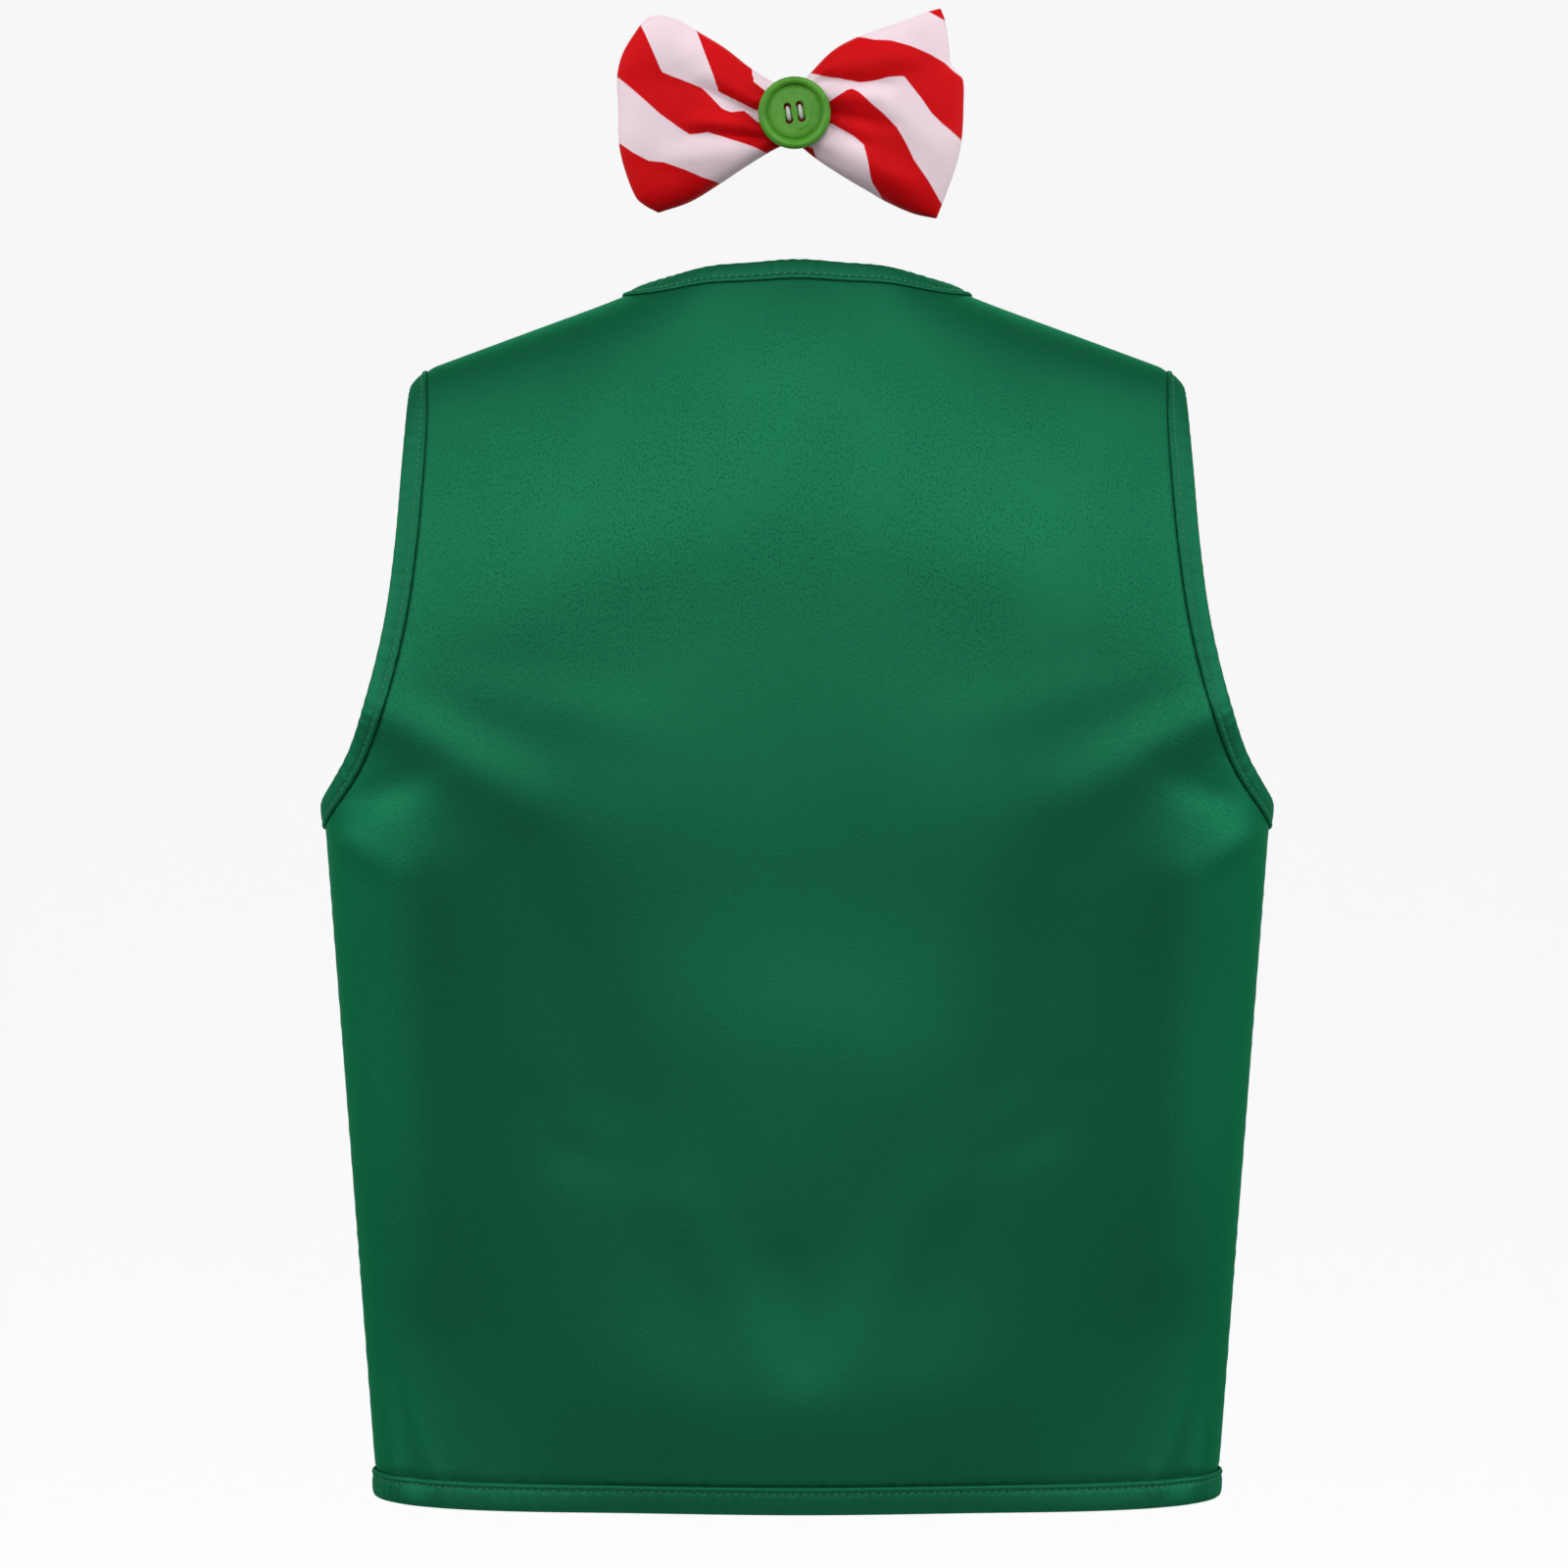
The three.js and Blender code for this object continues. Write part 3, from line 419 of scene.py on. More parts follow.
def shoulder_route(side):
    """The shoulder seam's line from the neck out to the tip."""
    return lambda u: (neck_turn + (tip_turn - neck_turn) * u, np.full_like(u, seam_fall[side]))


def front_edge_route(u):
    """The front's cut edge: straight up from the hem to where the fronts meet, then out along the neck
    to the shoulder seam, with the corner softened."""
    low, meet = fall_at(front_edge_turn, hem_height), fall_at(front_edge_turn, fronts_part_height)
    fall = low + (seam_fall[FRONT] - low) * u
    climb = np.maximum((meet - fall) / (meet - seam_fall[FRONT]), 0.0)
    corner = 0.04
    softened = (np.hypot(climb, corner) - corner) / (np.hypot(1.0, corner) - corner)
    return front_edge_turn + (neck_turn - front_edge_turn) * softened, fall


def joined(side, routes):
    """Several routes end to end as one, each with its share of the whole length."""
    lengths = np.array([along_route(side, route, [1.0])[2] for route in routes])
    ends = np.cumsum(lengths) / lengths.sum()

    def route(u):
        u = np.asarray(u, float)
        turn, fall = np.zeros(u.shape), np.zeros(u.shape)
        start_share = 0.0
        for piece, end_share in zip(routes, ends):
            inside = (u >= start_share - 1e-12) & (u <= end_share + 1e-9)
            local = np.clip((u[inside] - start_share) / (end_share - start_share), 0.0, 1.0)
            turn[inside], fall[inside], _ = along_route(side, piece, local)
            start_share = end_share
        return turn, fall

    return route


# Soft troughs and ridges of the cloth: start and end as x and z, half width, height at the start and at the
# end. Below zero is a trough. The first table is the back's, in the picture's view.
back_creases = [
    # from the armholes in and down over the shoulder blades
    (-150, -154, -100, -182, 12, 4.6, 1.5),
    (149, -155, 102, -180, 12, 4.4, 1.3),
    (-147, -155, -133, -158, 9, 1.7, 0.6),
    (146, -155, 133, -159, 9, 1.6, 0.6),
    (-151, -184, -138, -178, 8, -1.7, -0.9),
    (150, -184, 137, -178, 8, -1.7, -0.8),
    (-136, -126, -98, -128, 16, 1.1, 0.8),
    (135, -126, 99, -129, 16, 1.1, 0.8),
    (-147, -139, -62, -158, 11, 1.6, 0.6),
    (146, -138, 70, -154, 11, 1.5, 0.6),
    (-162, -200, -144, -210, 6, 1.7, 0.4),
    (161, -199, 143, -209, 6, 1.8, 0.4),
    # the blades' lower ends and the slack below them
    (-122, -194, -86, -190, 48, 6.4, 5.0),
    (120, -192, 90, -188, 48, 6.2, 4.8),
    (-2, -306, 24, -302, 46, 4.0, 3.6),
    (-76, -258, 78, -256, 38, 2.1, 1.9),
    (-8, -268, 22, -274, 26, 1.1, 0.9),
    (-46, -400, 46, -399, 30, 2.3, 2.1),
    (-96, -214, -70, -286, 20, -1.5, -1.6),
    (98, -210, 78, -280, 20, -1.5, -1.5),
    # down from the underarms
    (-135, -212, -132, -352, 13, 2.4, 2.3),
    (134, -214, 132, -348, 13, 2.3, 2.2),
    # the slack at the waist and the fall below it
    (-80, -311, -52, -317, 8, -0.4, -0.2),
    (90, -303, 68, -311, 8, -0.4, -0.2),
    (-90, -294, -80, -310, 8, -0.3, -0.2),
    (95, -288, 86, -302, 8, -0.3, -0.2),
    (-136, -380, -60, -438, 42, -4.6, -5.4),
    (134, -382, 62, -438, 42, -4.5, -5.2),
    (-60, -448, 60, -448, 26, -3.6, -3.4),
    (-40, -330, -6, -392, 12, 0.9, 0.5),
    (46, -328, 12, -394, 12, 0.8, 0.5),
    (-4, -352, 0, -380, 9, -0.7, -0.4),
    # corners of the hem
    (-145, -428, -150, -400, 3.4, 1.7, 0.4),
    (-136, -429, -145, -392, 3.8, -1.4, -0.3),
    (-128, -430, -137, -404, 3.6, 1.1, 0.2),
    (145, -428, 150, -401, 3.4, 1.6, 0.4),
    (136, -429, 145, -394, 3.8, -1.3, -0.3),
    (128, -430, 137, -405, 3.6, 1.0, 0.2),
]
front_creases = [
    (-140, -120, -96, -168, 14, 3.3, 1.8),
    (142, -122, 98, -166, 14, 3.1, 1.8),
    (-152, -150, -118, -196, 12, -3.1, -1.5),
    (150, -148, 120, -198, 12, -2.9, -1.5),
    (-118, -30, -60, -150, 16, 2.2, 1.3),
    (120, -34, 62, -148, 16, 2.0, 1.3),
    (-96, -70, -40, -180, 14, -2.4, -1.3),
    (94, -66, 42, -182, 14, -2.2, -1.3),
    (-70, -210, -58, -420, 24, 3.1, 1.5),
    (74, -214, 60, -418, 24, 2.9, 1.5),
    (-112, -220, -104, -424, 22, -3.5, -2.0),
    (110, -216, 106, -426, 22, -3.3, -2.0),
    (-24, -200, -18, -420, 10, -1.8, -0.9),
    (22, -204, 19, -422, 10, -1.5, -0.9),
    (-146, -428, -151, -398, 3.4, 0.8, 0.2),
    (146, -428, 151, -400, 3.4, 0.8, 0.2),
]


def crease_height(creases, x, z):
    """Sum of the creases at a place: each is its height, carried evenly from its start to its end, times
    a bell curve of the distance from its line, fading past its ends over the same width."""
    total = np.zeros(np.broadcast(x, z).shape)
    for x1, z1, x2, z2, half_width, first, last in creases:
        run = np.hypot(x2 - x1, z2 - z1)
        ux, uz = (x2 - x1) / run, (z2 - z1) / run
        along = (x - x1) * ux + (z - z1) * uz
        off = (x - x1) * uz - (z - z1) * ux
        past = np.maximum(np.maximum(-along, along - run), 0.0)
        share = np.clip(along / run, 0.0, 1.0)
        height = first + (last - first) * share
        total += height * bell(off, half_width) * bell(past, 1.4 * half_width)
    return total


def uneven(along, pitch, seed):
    """A row of waves of about one pitch whose size and spacing wander: a cosine with its phase and its
    height shifted by slower ones."""
    phase = 2 * np.pi * along / pitch + 1.7 * np.sin(along / pitch * 0.83 + seed) + seed
    size = 0.55 + 0.3 * np.sin(along / pitch * 1.31 + 2 * seed) + 0.15 * np.sin(along / pitch * 0.47 + seed)
    return size * np.cos(phase)


def cloth_surface(side, turn, fall, lift=0.0):
    """The cloth's own surface: the form, moved out along its normal by the lift, and straight back or
    forward by the creases, which fade to nothing at the side and shoulder seams, so that the panels meet
    there and the outline stays true."""
    points = body_point(side, turn, fall)
    normal = body_normal(side, turn, fall)
    height = crease_height(back_creases if side == BACK else front_creases, points[..., 0], points[..., 2])
    beside_side = (np.pi / 2 - np.abs(turn)) * side_reach
    beside_shoulder = np.abs(fall - seam_fall[side])
    height *= (1 - bell(beside_side, 13.0)) * (1 - bell(beside_shoulder, 24.0))
    out_way = np.zeros(points.shape)
    out_way[..., 1] = side * height
    return points + normal * np.asarray(lift)[..., None] + out_way


def eased_shares(cells, fine, finest):
    """Shares from 0 to 1 in cells that are finer near both ends: even steps whose speed is lowered there
    by two bell curves."""
    u = np.linspace(0.0, 1.0, 2001)
    density = 1.0 + fine * (bell(u, finest) + bell(1 - u, finest))
    total = np.concatenate([[0.0], np.cumsum((density[1:] + density[:-1]) / 2)])
    return np.interp(np.linspace(0.0, 1.0, cells + 1), total / total[-1], u)


def blend_edges(low, high, first, last, over, down):
    """Places of a grid between four edge lines, so that each is met exactly: the even blend of the low and
    high lines and that of the first and last ones, less the even blend of the four corners."""
    u, v = over[None, :, None], down[:, None, None]
    edges = (1 - v) * low[None] + v * high[None] + (1 - u) * first[:, None] + u * last[:, None]
    corners = (1 - u) * ((1 - v) * low[0] + v * high[0]) + u * ((1 - v) * low[-1] + v * high[-1])
    return edges - corners


def half_panel(side, rows, columns):
    """Half of a panel as turns and falls on a grid between the hem, the top, the middle line and the outer
    line."""
    down = eased_shares(rows, 1.6, 0.05)
    over = eased_shares(columns, 0.7, 0.05)
    outer = joined(side, [side_seam_route(side), armhole_route(side)])
    if side == BACK:
        top = joined(side, [neck_route, shoulder_route(side)])
        low, high = fall_at(0.0, hem_height), neck_back_fall
        middle = lambda u: (np.zeros_like(u), low + (high - low) * u)
    else:
        top = shoulder_route(side)
        middle = front_edge_route
    edges = [(hem_route(side), over), (top, over), (middle, down), (outer, down)]
    lines = [np.stack(along_route(side, route, shares)[:2], axis=-1) for route, shares in edges]
    return np.moveaxis(blend_edges(*lines, over, down), -1, 0)


dense_depth = middle_depth * (np.cos(dense_turns) - squareness * np.cos(3 * dense_turns)) / (1 - squareness)
way_round_table = run_length(np.stack([dense_across, dense_depth], axis=-1))
# Dark green of the small flecks painted into the satin's colour in the band where the highlight falls:
# painted shade that breaks the highlight
painted_fleck_shade_green = (0.0075, 0.104, 0.048)


def satin_finish(name, green, deep, gloss, metal):
    """Satin: long floats of fine warp give it a soft sheen of its own colour. A fine crosswise slub and small
    dark flecks, where floats are caught down, break the sheen. The flecks' dark colour is painted shade, laid
    mostly in the band down from the shoulders where the highlight falls and only faintly elsewhere."""
    material, start = new_finish(name)
    chart = start.node("ShaderNodeUVMap", {"uv_map": "cloth"})
    slub = chart.noise((160.0, 1500.0, 1.0), 3.0, 0.6)
    grain = chart.noise((1500.0, 1900.0, 1.0), 1.0, 0.5)
    fleck = chart.noise((1350.0, 900.0, 1.0), 1.0, 0.5).between(0.5, 0.66)
    fall = start.node("ShaderNodeSeparateXYZ", None, {0: chart}, 1)
    # The band down from the shoulder ridge where the highlight falls. The dark flecks are painted mostly
    # there, as painted shade breaking the highlight, and faintly elsewhere.
    highlight_band_mask = fall.between(0.05, 0.1) - fall.between(0.16, 0.25) + 0.12
    highlight_band_flecks = highlight_band_mask * chart.noise((26.0, 20.0, 1.0), 2.0, 0.5).between(0.22, 0.55)
    cloud = chart.noise((14.0, 11.0, 1.0), 2.0, 0.5)
    shade = (slub - 0.5) * 0.3 + (cloud - 0.5) * 0.35
    # Colour: random tone between the two greens, with the painted-shade flecks of the highlight band laid
    # over it
    colour = (fleck * highlight_band_flecks).tint(shade.between(-0.3, 0.5).tint(green, deep), painted_fleck_shade_green)
    height = slub * 0.6 + grain * 0.35 - fleck * 0.5
    rough = gloss + (grain - 0.5) * 0.12 + (cloud - 0.5) * 0.06
    finish_with(
        start,
        Base_Color=colour,
        Roughness=rough,
        Metallic=metal,
        Specular_IOR_Level=0.03,
        Specular_Tint=(0.18, 0.6, 0.42, 1.0),
        Normal=height.bump(0.5, 0.00009),
    )
    return material


satin = satin_finish("green_satin", (0.0125, 0.160, 0.0736), (0.0085, 0.120, 0.055), 0.57, 0.9)
cloth_thickness = 0.45
neck_width, hem_width = 7.0, 8.0


def thicken(piece, thickness, offset=0.0):
    """Gives a sheet its thickness in millimetres: evenly to both sides, or all inside for an offset of -1."""
    wall = piece.modifiers.new("wall", "SOLIDIFY")
    wall.thickness = thickness * METRE
    wall.offset = offset


def cloth_panel(name, side, turn, fall, lift):
    """A sheet of satin over a grid of turns and falls, moved out by the lift. On the flat cloth a point lies
    at its way round from the middle line and at its fall."""
    points = cloth_surface(side, turn, fall, lift)
    faces = grid_faces(*turn.shape)
    if side == FRONT:
        faces = faces[:, ::-1]
    way_round = np.sign(turn) * np.interp(np.abs(turn), dense_turns, way_round_table)
    corners = np.stack([way_round, fall], axis=-1).reshape(-1, 2)[faces.ravel()]
    piece = build_piece(name, points, faces, satin, {"cloth": corners})
    thicken(piece, cloth_thickness)
    return piece


def both_halves(turn, fall):
    """The places of one half and of its mirror image in one row or grid, from the left to the right."""
    mirrored = np.concatenate([-turn[..., :0:-1], turn], axis=-1)
    return mirrored, np.concatenate([fall[..., :0:-1], fall], axis=-1)


def seam_dip(side, turn, fall):
    """The cloth sinks a little beside its seams and bindings: deepest on the line, gone in a few
    millimetres, with small uneven puckers that run square to it."""
    points = body_point(side, turn, fall)
    x, z = points[..., 0], points[..., 2]
    beside_hem = np.maximum(z - hem_height - hem_width, 0.0)
    dip = 0.36 * uneven(x, 7.1, 0.4) * np.exp(-beside_hem / 6.0)
    dip -= 0.5 * bell(beside_hem, 2.2)
    beside_side = (side_turn - np.abs(turn)) * side_reach
    dip -= 0.45 * bell(beside_side, 1.8)
    dip += 0.3 * uneven(z, 8.7, 1.9) * np.exp(-beside_side / 5.0) * (z < underarm_height)
    beside_shoulder = np.abs(fall - seam_fall[side])
    dip -= 0.4 * bell(beside_shoulder, 1.8)
    dip += 0.22 * uneven(x, 7.9, 0.8) * np.exp(-beside_shoulder / 5.0)
    return dip


back_rows, back_columns = 220, 96
back_turn, back_fall = both_halves(*half_panel(BACK, back_rows, back_columns))
neck_line_turn, neck_line_fall, neck_half_length = along_route(BACK, neck_route, np.linspace(0.0, 1.0, 400))
below_neck = back_fall - np.interp(np.abs(back_turn), neck_line_turn, neck_line_fall)
below_binding = np.maximum(below_neck - neck_width, 0.0)
neck_dip = -0.5 * bell(below_binding, 2.0)
neck_dip += 0.3 * uneven(back_turn * chest_half_width, 4.6, 1.3) * np.exp(-below_binding / 5.0)
back_lift = seam_dip(BACK, back_turn, back_fall) + np.where(np.abs(back_turn) < neck_turn, neck_dip, 0.0)
back = cloth_panel("waistcoat_back", BACK, back_turn, back_fall, back_lift)
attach(back, "root")
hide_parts("back_panel")

# Waistcoat fronts. Two pieces of the same satin, cut as a pair, that lie edge to edge down the middle and
# leave a V neck. The picture doesn't show them, so they are plain, with soft creases like the back's.
front_rows, front_columns = 185, 90
front_turn, front_fall = half_panel(FRONT, front_rows, front_columns)
fronts = {}
for hand, sign in (("right", 1), ("left", -1)):
    turn, fall = front_turn[:, ::sign] * sign, front_fall[:, ::sign]
    front = cloth_panel(f"waistcoat_front_{hand}", FRONT, turn, fall, seam_dip(FRONT, turn, fall))
    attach(front, "root")
    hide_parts(f"front_panel_{hand}")
    fronts[hand] = front

# Bindings. Strips of the satin cut on the bias and folded over the cut edges of the neck, hem, armholes and
# fronts, turned in along both sides and sewn down with one row of stitches near the turned-in edge.
binding_satin = satin_finish("green_satin_bias", (0.0125, 0.15, 0.071), (0.009, 0.115, 0.054), 0.6, 0.8)
armhole_width = 7.5
strip_thickness = 0.35
stitch_pitch, stitch_length, stitch_radius, stitch_lean = 2.7, 2.1, 0.3, 0.28
stitch_inset = 1.8
stitch_rise, stitch_bow, stitch_dive = 0.88, 0.16, 0.55
# About how long the edges are, for the stations along them
half_hem_length, armhole_length, front_edge_length = 200.0, 165.0, 455.0


def stitch_rows(name, row, normal, along):
    """Two rows of stitches, on the face and inside: each stitch is a thin six-sided rod that leans a little
    off the row and dives into the cloth at both ends."""
    count = int(along[-1] / stitch_pitch)
    middle = (np.arange(count) + 0.5) * along[-1] / count

    def read_at(places, values):
        return np.stack([np.interp(places, along, values[:, k]) for k in range(3)], axis=-1)

    centre, out = read_at(middle, row), read_at(middle, normal)
    run = unit(read_at(middle + 0.4, row) - read_at(middle - 0.4, row))
    over = np.cross(out, run)
    station = np.array([-1.0, -0.75, 0.0, 0.75, 1.0])
    thick = np.array([0.45, 0.9, 1.0, 0.9, 0.45]) * stitch_radius
    sides = np.arange(6) * np.pi / 3
    length_way = np.broadcast_to(station[:, None] * stitch_length / 2, (5, 6))
    cross_way = thick[:, None] * np.cos(sides) + length_way * stitch_lean
    out_way = thick[:, None] * np.sin(sides) + stitch_bow - stitch_dive * station[:, None] ** 4 + stitch_rise
    rod = grid_faces(5, 6, close_columns=True)
    ends = np.array([[0, 1, 2, 3], [0, 3, 4, 5], [27, 26, 25, 24], [29, 28, 27, 24]])
    rod_faces = np.concatenate([rod, ends])
    both = []
    for face in (1.0, -1.0):
        place = centre[:, None, None] + run[:, None, None] * length_way[..., None]
        place = place + over[:, None, None] * cross_way[..., None]
        both.append(place + out[:, None, None] * out_way[..., None] * face)
    points = np.concatenate(both).reshape(-1, 3)
    turned = np.concatenate([np.tile(rod_faces[:, ::-1], (count, 1)), np.tile(rod_faces, (count, 1))])
    offset = np.repeat(np.arange(2 * count) * 30, len(rod_faces))
    return build_piece(name, points, turned + offset[:, None], stitch_thread)


stitch_thread, start = new_finish("green_stitch_thread")
strand = start.node("ShaderNodeTexCoord", output=3).noise((900.0, 900.0, 900.0), 1.0)
finish_with(
    start,
    Base_Color=strand.tint((0.01, 0.12, 0.056), (0.018, 0.2, 0.095)),
    Roughness=0.55 + strand * 0.1,
)


def strip_shares(length):
    """Even shares for stations along an edge, three to each stitch."""
    return np.linspace(0.0, 1.0, int(round(3 * length / stitch_pitch)) + 1)


def inset_places(side, turn, fall, distance, sign):
    """Places moved square to their run by a distance over the form, to the run's left for sign 1."""
    points = body_point(side, turn, fall)
    run = unit(np.gradient(points, axis=0))
    move = np.cross(body_normal(side, turn, fall), run) * sign * distance
    by_turn, by_fall = body_steps(side, turn, fall)
    uu, vv = (by_turn ** 2).sum(-1), (by_fall ** 2).sum(-1)
    uv = (by_turn * by_fall).sum(-1)
    ut, vt = (by_turn * move).sum(-1), (by_fall * move).sum(-1)
    scale = uu * vv - uv * uv
    return turn + (ut * vv - vt * uv) / scale, fall + (vt * uu - ut * uv) / scale


def binding_section(width):
    """A folded strip's section, from the turned-in edge on the face round the fold to the one inside: how
    far in from the cut edge, and how far out from the cloth's middle. The stitches press it down."""
    inside = np.array([
        width - 0.1, width + 0.25, width + 0.3, width + 0.1, width - 0.3, width - 0.8, width - 1.2,
        width - 1.6, width - 2.0, width - 2.5, width - 3.6, 2.2, 0.8, -0.3, -0.9, -1.25, -1.4,
    ])
    out = np.array([
        0.35, 0.45, 0.65, 0.95, 1.15, 1.2, 1.05, 0.85,
        0.85, 1.05, 1.27, 1.35, 1.35, 1.2, 0.95, 0.5, 0.0,
    ])
    return np.concatenate([inside, inside[-2::-1]]), np.concatenate([out, -out[-2::-1]])


def binding_strip(name, side, turn, fall, sign, width, wave_seed, panel):
    """A binding along an edge of a panel: the section is carried along it, the fold outside and both legs
    on the cloth, with the cloth's creases and small waves between the stitches. It is cut wide enough for
    both legs, the way round the edge and a narrow turning on each."""
    inner_turn, inner_fall = inset_places(side, turn, fall, width, sign)
    inner_turn = np.where(np.isclose(np.abs(turn), np.pi / 2), turn, inner_turn)
    inner_fall = np.where(np.isclose(np.abs(fall), shoulder_seam_forward), fall, inner_fall)
    edge = cloth_surface(side, turn, fall)
    inner = cloth_surface(side, inner_turn, inner_fall)
    edge_normal = body_normal(side, turn, fall)
    inner_normal = body_normal(side, inner_turn, inner_fall)
    along = run_length(edge)
    inside, out = binding_section(width)
    share = (inside / width)[None, :, None]
    base = edge[:, None] + (inner - edge)[:, None] * share
    normal = unit(edge_normal[:, None] * (1 - share) + inner_normal[:, None] * share)
    wave = 0.16 * uneven(along, 5.4, wave_seed)
    dimple = 0.26 * np.cos(2 * np.pi * along / stitch_pitch)
    near_row = bell(inside - (width - stitch_inset), 0.9)
    puff = 1.0 + (wave[:, None] * (1 - near_row)[None, :]) + dimple[:, None] * near_row[None, :]
    points = base + normal * (out[None, :] * puff)[..., None]
    rows, columns = points.shape[:2]
    faces = grid_faces(rows, columns)
    along_bias, over_bias = along[:, None] * 0.7, np.linspace(0, 2 * width, columns)[None, :] * 0.7
    chart = np.stack([over_bias + along_bias, over_bias - along_bias], axis=-1)
    corners = chart.reshape(-1, 2)[faces.ravel()]
    strip = build_piece(name, points, faces, binding_satin, {"cloth": corners})
    thicken(strip, strip_thickness)
    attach(strip, "root")
    row_share = 1 - stitch_inset / width
    row = edge + (inner - edge) * row_share
    row_normal = edge_normal * (1 - row_share) + inner_normal * row_share
    stitches = stitch_rows(name.replace("strip", "stitches"), row, row_normal, along)
    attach(stitches, "root")
    return strip


turn, fall, _ = along_route(BACK, neck_route, strip_shares(neck_half_length))
fall[-1] = -shoulder_seam_forward
strip = binding_strip("neck_binding_strip", BACK, *both_halves(turn, fall), -1, neck_width, 0.7, back)
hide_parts("neck_binding")
turn, fall, _ = along_route(BACK, hem_route(BACK), strip_shares(half_hem_length))
turn[-1] = np.pi / 2
strip = binding_strip("hem_binding_strip_back", BACK, *both_halves(turn, fall), 1, hem_width, 0.2, back)
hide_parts("hem_binding_back")
for hand, sign in (("right", 1), ("left", -1)):
    front = fronts[hand]
    turn, fall, _ = along_route(FRONT, hem_route(FRONT), strip_shares(half_hem_length))
    turn[-1] = np.pi / 2
    name = f"hem_binding_strip_front_{hand}"
    strip = binding_strip(name, FRONT, turn * sign, fall, -sign, hem_width, 1.1, front)
    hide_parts(f"hem_binding_front_{hand}")
    for side, half, panel in ((BACK, "back", back), (FRONT, "front", front)):
        turn, fall, _ = along_route(side, armhole_route(side), strip_shares(armhole_length))
        turn[0] = np.pi / 2
        fall[-1] = side * shoulder_seam_forward
        name = f"armhole_binding_strip_{half}_{hand}"
        strip = binding_strip(name, side, turn * sign, fall, -side * sign, armhole_width, 1.9, panel)
        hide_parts(f"armhole_binding_{half}_{hand}")
    turn, fall, _ = along_route(FRONT, front_edge_route, strip_shares(front_edge_length))
    fall[-1] = shoulder_seam_forward
    name = f"front_binding_strip_{hand}"
    strip = binding_strip(name, FRONT, turn * sign, fall, sign, neck_width, 2.6, front)
    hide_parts(f"front_binding_{hand}")

# Seam allowances. The side and shoulder seams are sewn on the wrong side and pressed open, so a narrow
# double edge of cloth lies inside along each.
allowance, allowance_thickness, allowance_drop = 9.0, 0.4, 0.85
side_rows, shoulder_rows, allowance_columns = 90, 50, 13
allowance_across = np.linspace(-allowance, allowance, allowance_columns)


def allowance_piece(name, points, places):
    """The pressed-open edges along a seam as one thin strip inside the cloth: the form's own points moved
    in along their normal, which is the cross product of the grid's two steps."""
    normal = unit(np.cross(np.gradient(points, axis=0), np.gradient(points, axis=1)))
    trunk_middle = np.array([0.0, 0.0, -200.0])
    outward = np.sign((normal * (points - trunk_middle)).sum(-1, keepdims=True))
    points = points - normal * outward * allowance_drop
    faces = grid_faces(*points.shape[:2])
    corners = places.reshape(-1, 2)[faces.ravel()]
    piece = build_piece(name, points, faces, satin, {"cloth": corners})
    thicken(piece, allowance_thickness)
    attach(piece, "root")


for hand, sign in (("right", 1), ("left", -1)):
    height = np.linspace(hem_height + hem_width + 0.7, underarm_height - armhole_width - 0.7, side_rows)
    seam_side = np.where(allowance_across < 0, BACK, FRONT)
    seam_turn = sign * (np.pi / 2 - np.abs(allowance_across) / side_reach)
    seam_turn, seam_side, height = np.broadcast_arrays(seam_turn, seam_side, height[:, None])
    seam_falls = fall_at(seam_turn, height)
    points = body_point(seam_side, seam_turn, seam_falls)
    places = np.stack(np.broadcast_arrays(allowance_across, seam_falls), axis=-1)
    allowance_piece(f"side_seam_allowance_{hand}", points, places)
    seam_turn = sign * np.linspace(neck_turn + 0.055, tip_turn - 0.075, shoulder_rows)[:, None]
    seam_turn, seam_falls = np.broadcast_arrays(seam_turn, shoulder_seam_forward + 1.5 * allowance_across)
    points = body_point(FRONT, seam_turn, seam_falls)
    places = np.stack([seam_falls, seam_turn * chest_half_width], axis=-1)
    allowance_piece(f"shoulder_seam_allowance_{hand}", points, places)

# Bow. A strip of soft striped cloth sewn to a flat tube, folded into two loops and gathered tight at its
# middle, so that folds run out from there. The stripes are printed on the slant, and the folds shift them.
bow_across, bow_up = -1.0, 64.5
knot_half_height = 9.0
bow_outlines = {
    "left": {
        "top": [
            (0, 9), (7, 11.2), (16, 16.6), (25.6, 24.1), (35.6, 30.2), (42.8, 34.5), (51.3, 35.9), (55.6, 33),
        ],
        "outer": [
            (55.6, 33), (62, 22.7), (64.2, 14.1), (63.8, 3.8), (63.5, -10.5), (61.3, -20.2), (57.4, -29.8),
            (54.2, -32.7), (49.5, -35.2),
        ],
        "bottom": [(0, -9), (7.5, -12.2), (17.8, -18.4), (27.4, -24.8), (38.1, -31.3), (49.5, -35.2)],
    },
    "right": {
        "top": [(0, 9), (4.5, 13.2), (13.7, 22.7), (22.3, 27.7), (34.8, 32.3), (49, 37.3), (53, 38.4)],
        "outer": [
            (53, 38.4), (54.4, 34.5), (55.8, 25.9), (56.9, 18), (60.8, 13.4), (61.2, 3.8), (60.5, -9.1),
            (58.3, -19.1), (54, -30.9), (51.5, -37.3),
        ],
        "bottom": [
            (0, -9), (8, -15.5), (18.3, -22.3), (28, -28), (33.7, -31.3), (43.3, -35.5), (51.5, -37.3),
        ],
    },
}
